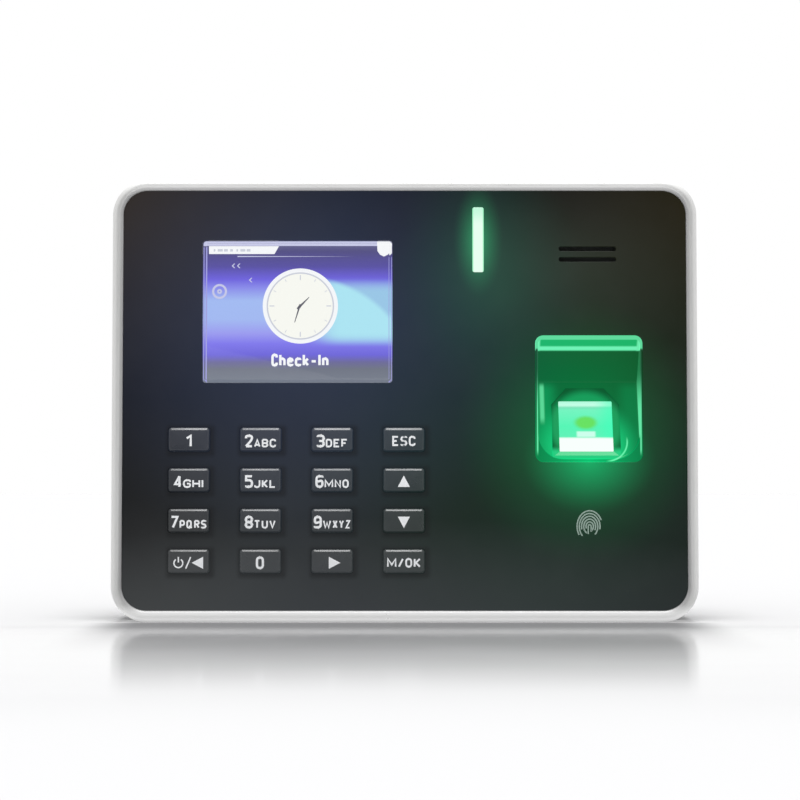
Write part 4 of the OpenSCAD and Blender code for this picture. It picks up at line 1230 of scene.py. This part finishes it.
def frame_shader():
    """Dark smoked plastic round the glass, with green light painted on as emission, most of all below the
    glass.
    """
    smoked = (0.001, 0.008, 0.004, 1)
    s = plastic("sensor_rim", smoked, 0.16, grain=1.2, depth=0.0006, Specular_IOR_Level=0.1)
    across, up = local_axes(s)
    # Painted green glow, brightest near the glass and along its foot.
    near = s.fade(s.length(across, up), 13, 9.6)
    light = s.mix(near, (0.0, 0.095, 0.024, 1), (0.006, 0.33, 0.10, 1))
    light = s.mix(s.fade(up, -6.5, -8.8), light, (0.016, 0.60, 0.21, 1))
    x, _, z = s.axes()
    s.light(s.mix(gleams(s, x, z), light, (0.20, 0.86, 0.46, 1)))
    return s.material


# ---------------------------------------------------------------- printed sign

# Ridges of the sign from the inside out: where each starts and ends, in degrees round its middle.
RIDGES = [(-8, 188), (-62, 205), (-30, 242), (-50, 196), (-12, 226), (24, 212)]
SIGN_Z = 29.2


def make_sign():
    """A plain fingerprint sign, printed under the sensor: open ridges round each other."""
    weight, inner, pitch, stretch = 0.42, 0.45, 0.68, 1.25
    parts = []
    for i, (start, end) in enumerate(RIDGES):
        reach = inner + pitch * i
        angles = [math.radians(start + (end - start) * k / 32) for k in range(33)]
        ridge = [(WELL_X + reach * math.cos(a), SIGN_Z + stretch * reach * math.sin(a)) for a in angles]
        if i == 0:
            ridge = [(ridge[0][0], 27.6)] + ridge + [(ridge[-1][0], 26.9)]
        parts.append(pen("ridge", ridge, weight, FACE_Y + 0.01, 0.02))
    print_grey = plastic("sign_print", srgb(150, 172, 160), 0.5, grain=0.4, depth=0.001, tint=1.05)
    seat(join("finger_sign", parts), print_grey.material, slot="panel_black")


# ---------------------------------------------------------------- tamper spring


def make_spring():
    """The tamper pin's coil spring, at its full length; the real one shortens as the pin is pushed in."""
    low, high = box("tamper_spring")
    wire_r, travel = 0.28, 0.8
    turns, steps = 5, 20
    x, _, z = (low + high) / 2
    reach = (high.x - low.x) / 2 - wire_r
    length = high.y - low.y
    path = []
    for i in range(turns * steps + 1):
        turn = 2 * math.pi * i / steps
        y = low.y + wire_r + (length - 2 * wire_r) * i / (turns * steps)
        path.append((x + reach * math.cos(turn), y, z + reach * math.sin(turn)))
    coil = tube("tamper_coil", path, wire_r)
    seat(coil, MATERIALS[SLOT_OF["tamper_spring"]], replaces=["tamper_spring"])
    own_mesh(coil)


# ---------------------------------------------------------------- CAD parts that stay

# How far the edges of the CAD parts that can be seen are rounded.
EDGES = {"rear_shell": 0.25, "wall_plate": 0.15, "case_screws": 0.08, "ethernet_jack": 0.08,
         "power_jack": 0.1, "terminal_block": 0.1, "usb_port": 0.06, "reset_button": 0.12}


def refine(node):
    """Gives a CAD part that stays its slot's material and, if it is seen, rounded edges."""
    part = NODES[node]
    part.data.materials.clear()
    part.data.materials.append(MATERIALS[SLOT_OF[node]])
    if node in EDGES:
        modifier(part, "WELD", merge_threshold=1e-6)
        # Dissolving faces would spoil the rear shell's cable bay.
        if node != "rear_shell":
            modifier(part, "DECIMATE", decimate_type="DISSOLVE", angle_limit=math.radians(0.5))
        bevel(part, EDGES[node], 2, 40)
        modifier(part, "WEIGHTED_NORMAL", keep_sharp=True)


# ---------------------------------------------------------------- stage


def make_floor():
    """A large pale floor whose gloss fades to matt in front of the terminal, with a painted contact shadow
    just in front of it.
    """
    size = 9000 * MM
    mesh = bpy.data.meshes.new("floor")
    corners = [(-size, -size, 0), (size, -size, 0), (size, size, 0), (-size, size, 0)]
    mesh.from_pydata(corners, [], [(0, 1, 2, 3)])
    mesh.shade_smooth()
    floor = new_object("floor", mesh)
    pale = (0.65, 0.65, 0.655, 1)
    s = Shader("floor", pale, 0.12, IOR=1.5)
    x, y, _ = s.axes()
    ahead = s.math("SUBTRACT", FRONT_Y, y)
    # At a grazing view only a steep fall of the specular level fades the gloss evenly.
    gloss = s.math("POWER", s.fade(ahead, 20, 300, 1.0, 0.0), 6.0)
    start = s.math("POWER", s.fade(ahead, 10, 100), 3.0)
    s.put("Specular IOR Level", s.product(gloss, start, 0.5))
    # Painted contact shadow: the floor is darkened just in front of the terminal.
    painted_contact_shadow = s.product(s.fade(ahead, 120, 0, 0.0, 0.7), s.fade(ahead, -4, 4), s.fade(s.off(x, 0), 98, 80))
    s.put("Base Color", s.mix(painted_contact_shadow, pale, (0.04, 0.04, 0.045, 1)))
    s.vary("Roughness", s.noise(60, 2), 0.08, 0.12)
    mesh.materials.append(s.material)


def make_sun(tilt, spread, strength):
    """Even soft light from a wide disc, tilted by so many degrees from overhead to the front."""
    data = bpy.data.lights.new("overhead", "SUN")
    data.energy = strength
    data.angle = math.radians(spread)
    sun = bpy.data.objects.new("overhead", data)
    sun.rotation_euler = (math.radians(tilt), 0, 0)
    scene.collection.objects.link(sun)


def make_world():
    """White surroundings, dimmer behind the camera so that the black front stays black."""
    world = bpy.data.worlds.new("studio")
    world.use_nodes = True
    tree = world.node_tree
    background = tree.nodes["Background"]
    background.inputs["Color"].default_value = WHITE
    direction = add_node(tree, "ShaderNodeTexCoord").outputs["Generated"]
    ahead = add_node(tree, "ShaderNodeVectorMath", (direction, (0, -1, 0)), operation="DOT_PRODUCT")
    start, end, bright, dim = 0.5, 0.97, 1.0, 0.34
    strength = add_node(tree, "ShaderNodeMapRange", (ahead.outputs["Value"], start, end, bright, dim),
                        interpolation_type="SMOOTHSTEP")
    tree.links.new(strength.outputs["Result"], background.inputs["Strength"])
    scene.world = world


# ---------------------------------------------------------------- build

make_bezel()
make_panel()
for key in KEYS:
    make_key(key)
    make_legend(key)
make_screen()
make_window()
make_status_light()
make_speaker_cloth()
make_cup()
make_sensor()
make_sign()
make_spring()
for node, part in NODES.items():
    if not part.hide_render:
        refine(node)
make_floor()
make_world()
make_sun(tilt=12, spread=26, strength=1.9)
scene.view_settings.view_transform = "Standard"
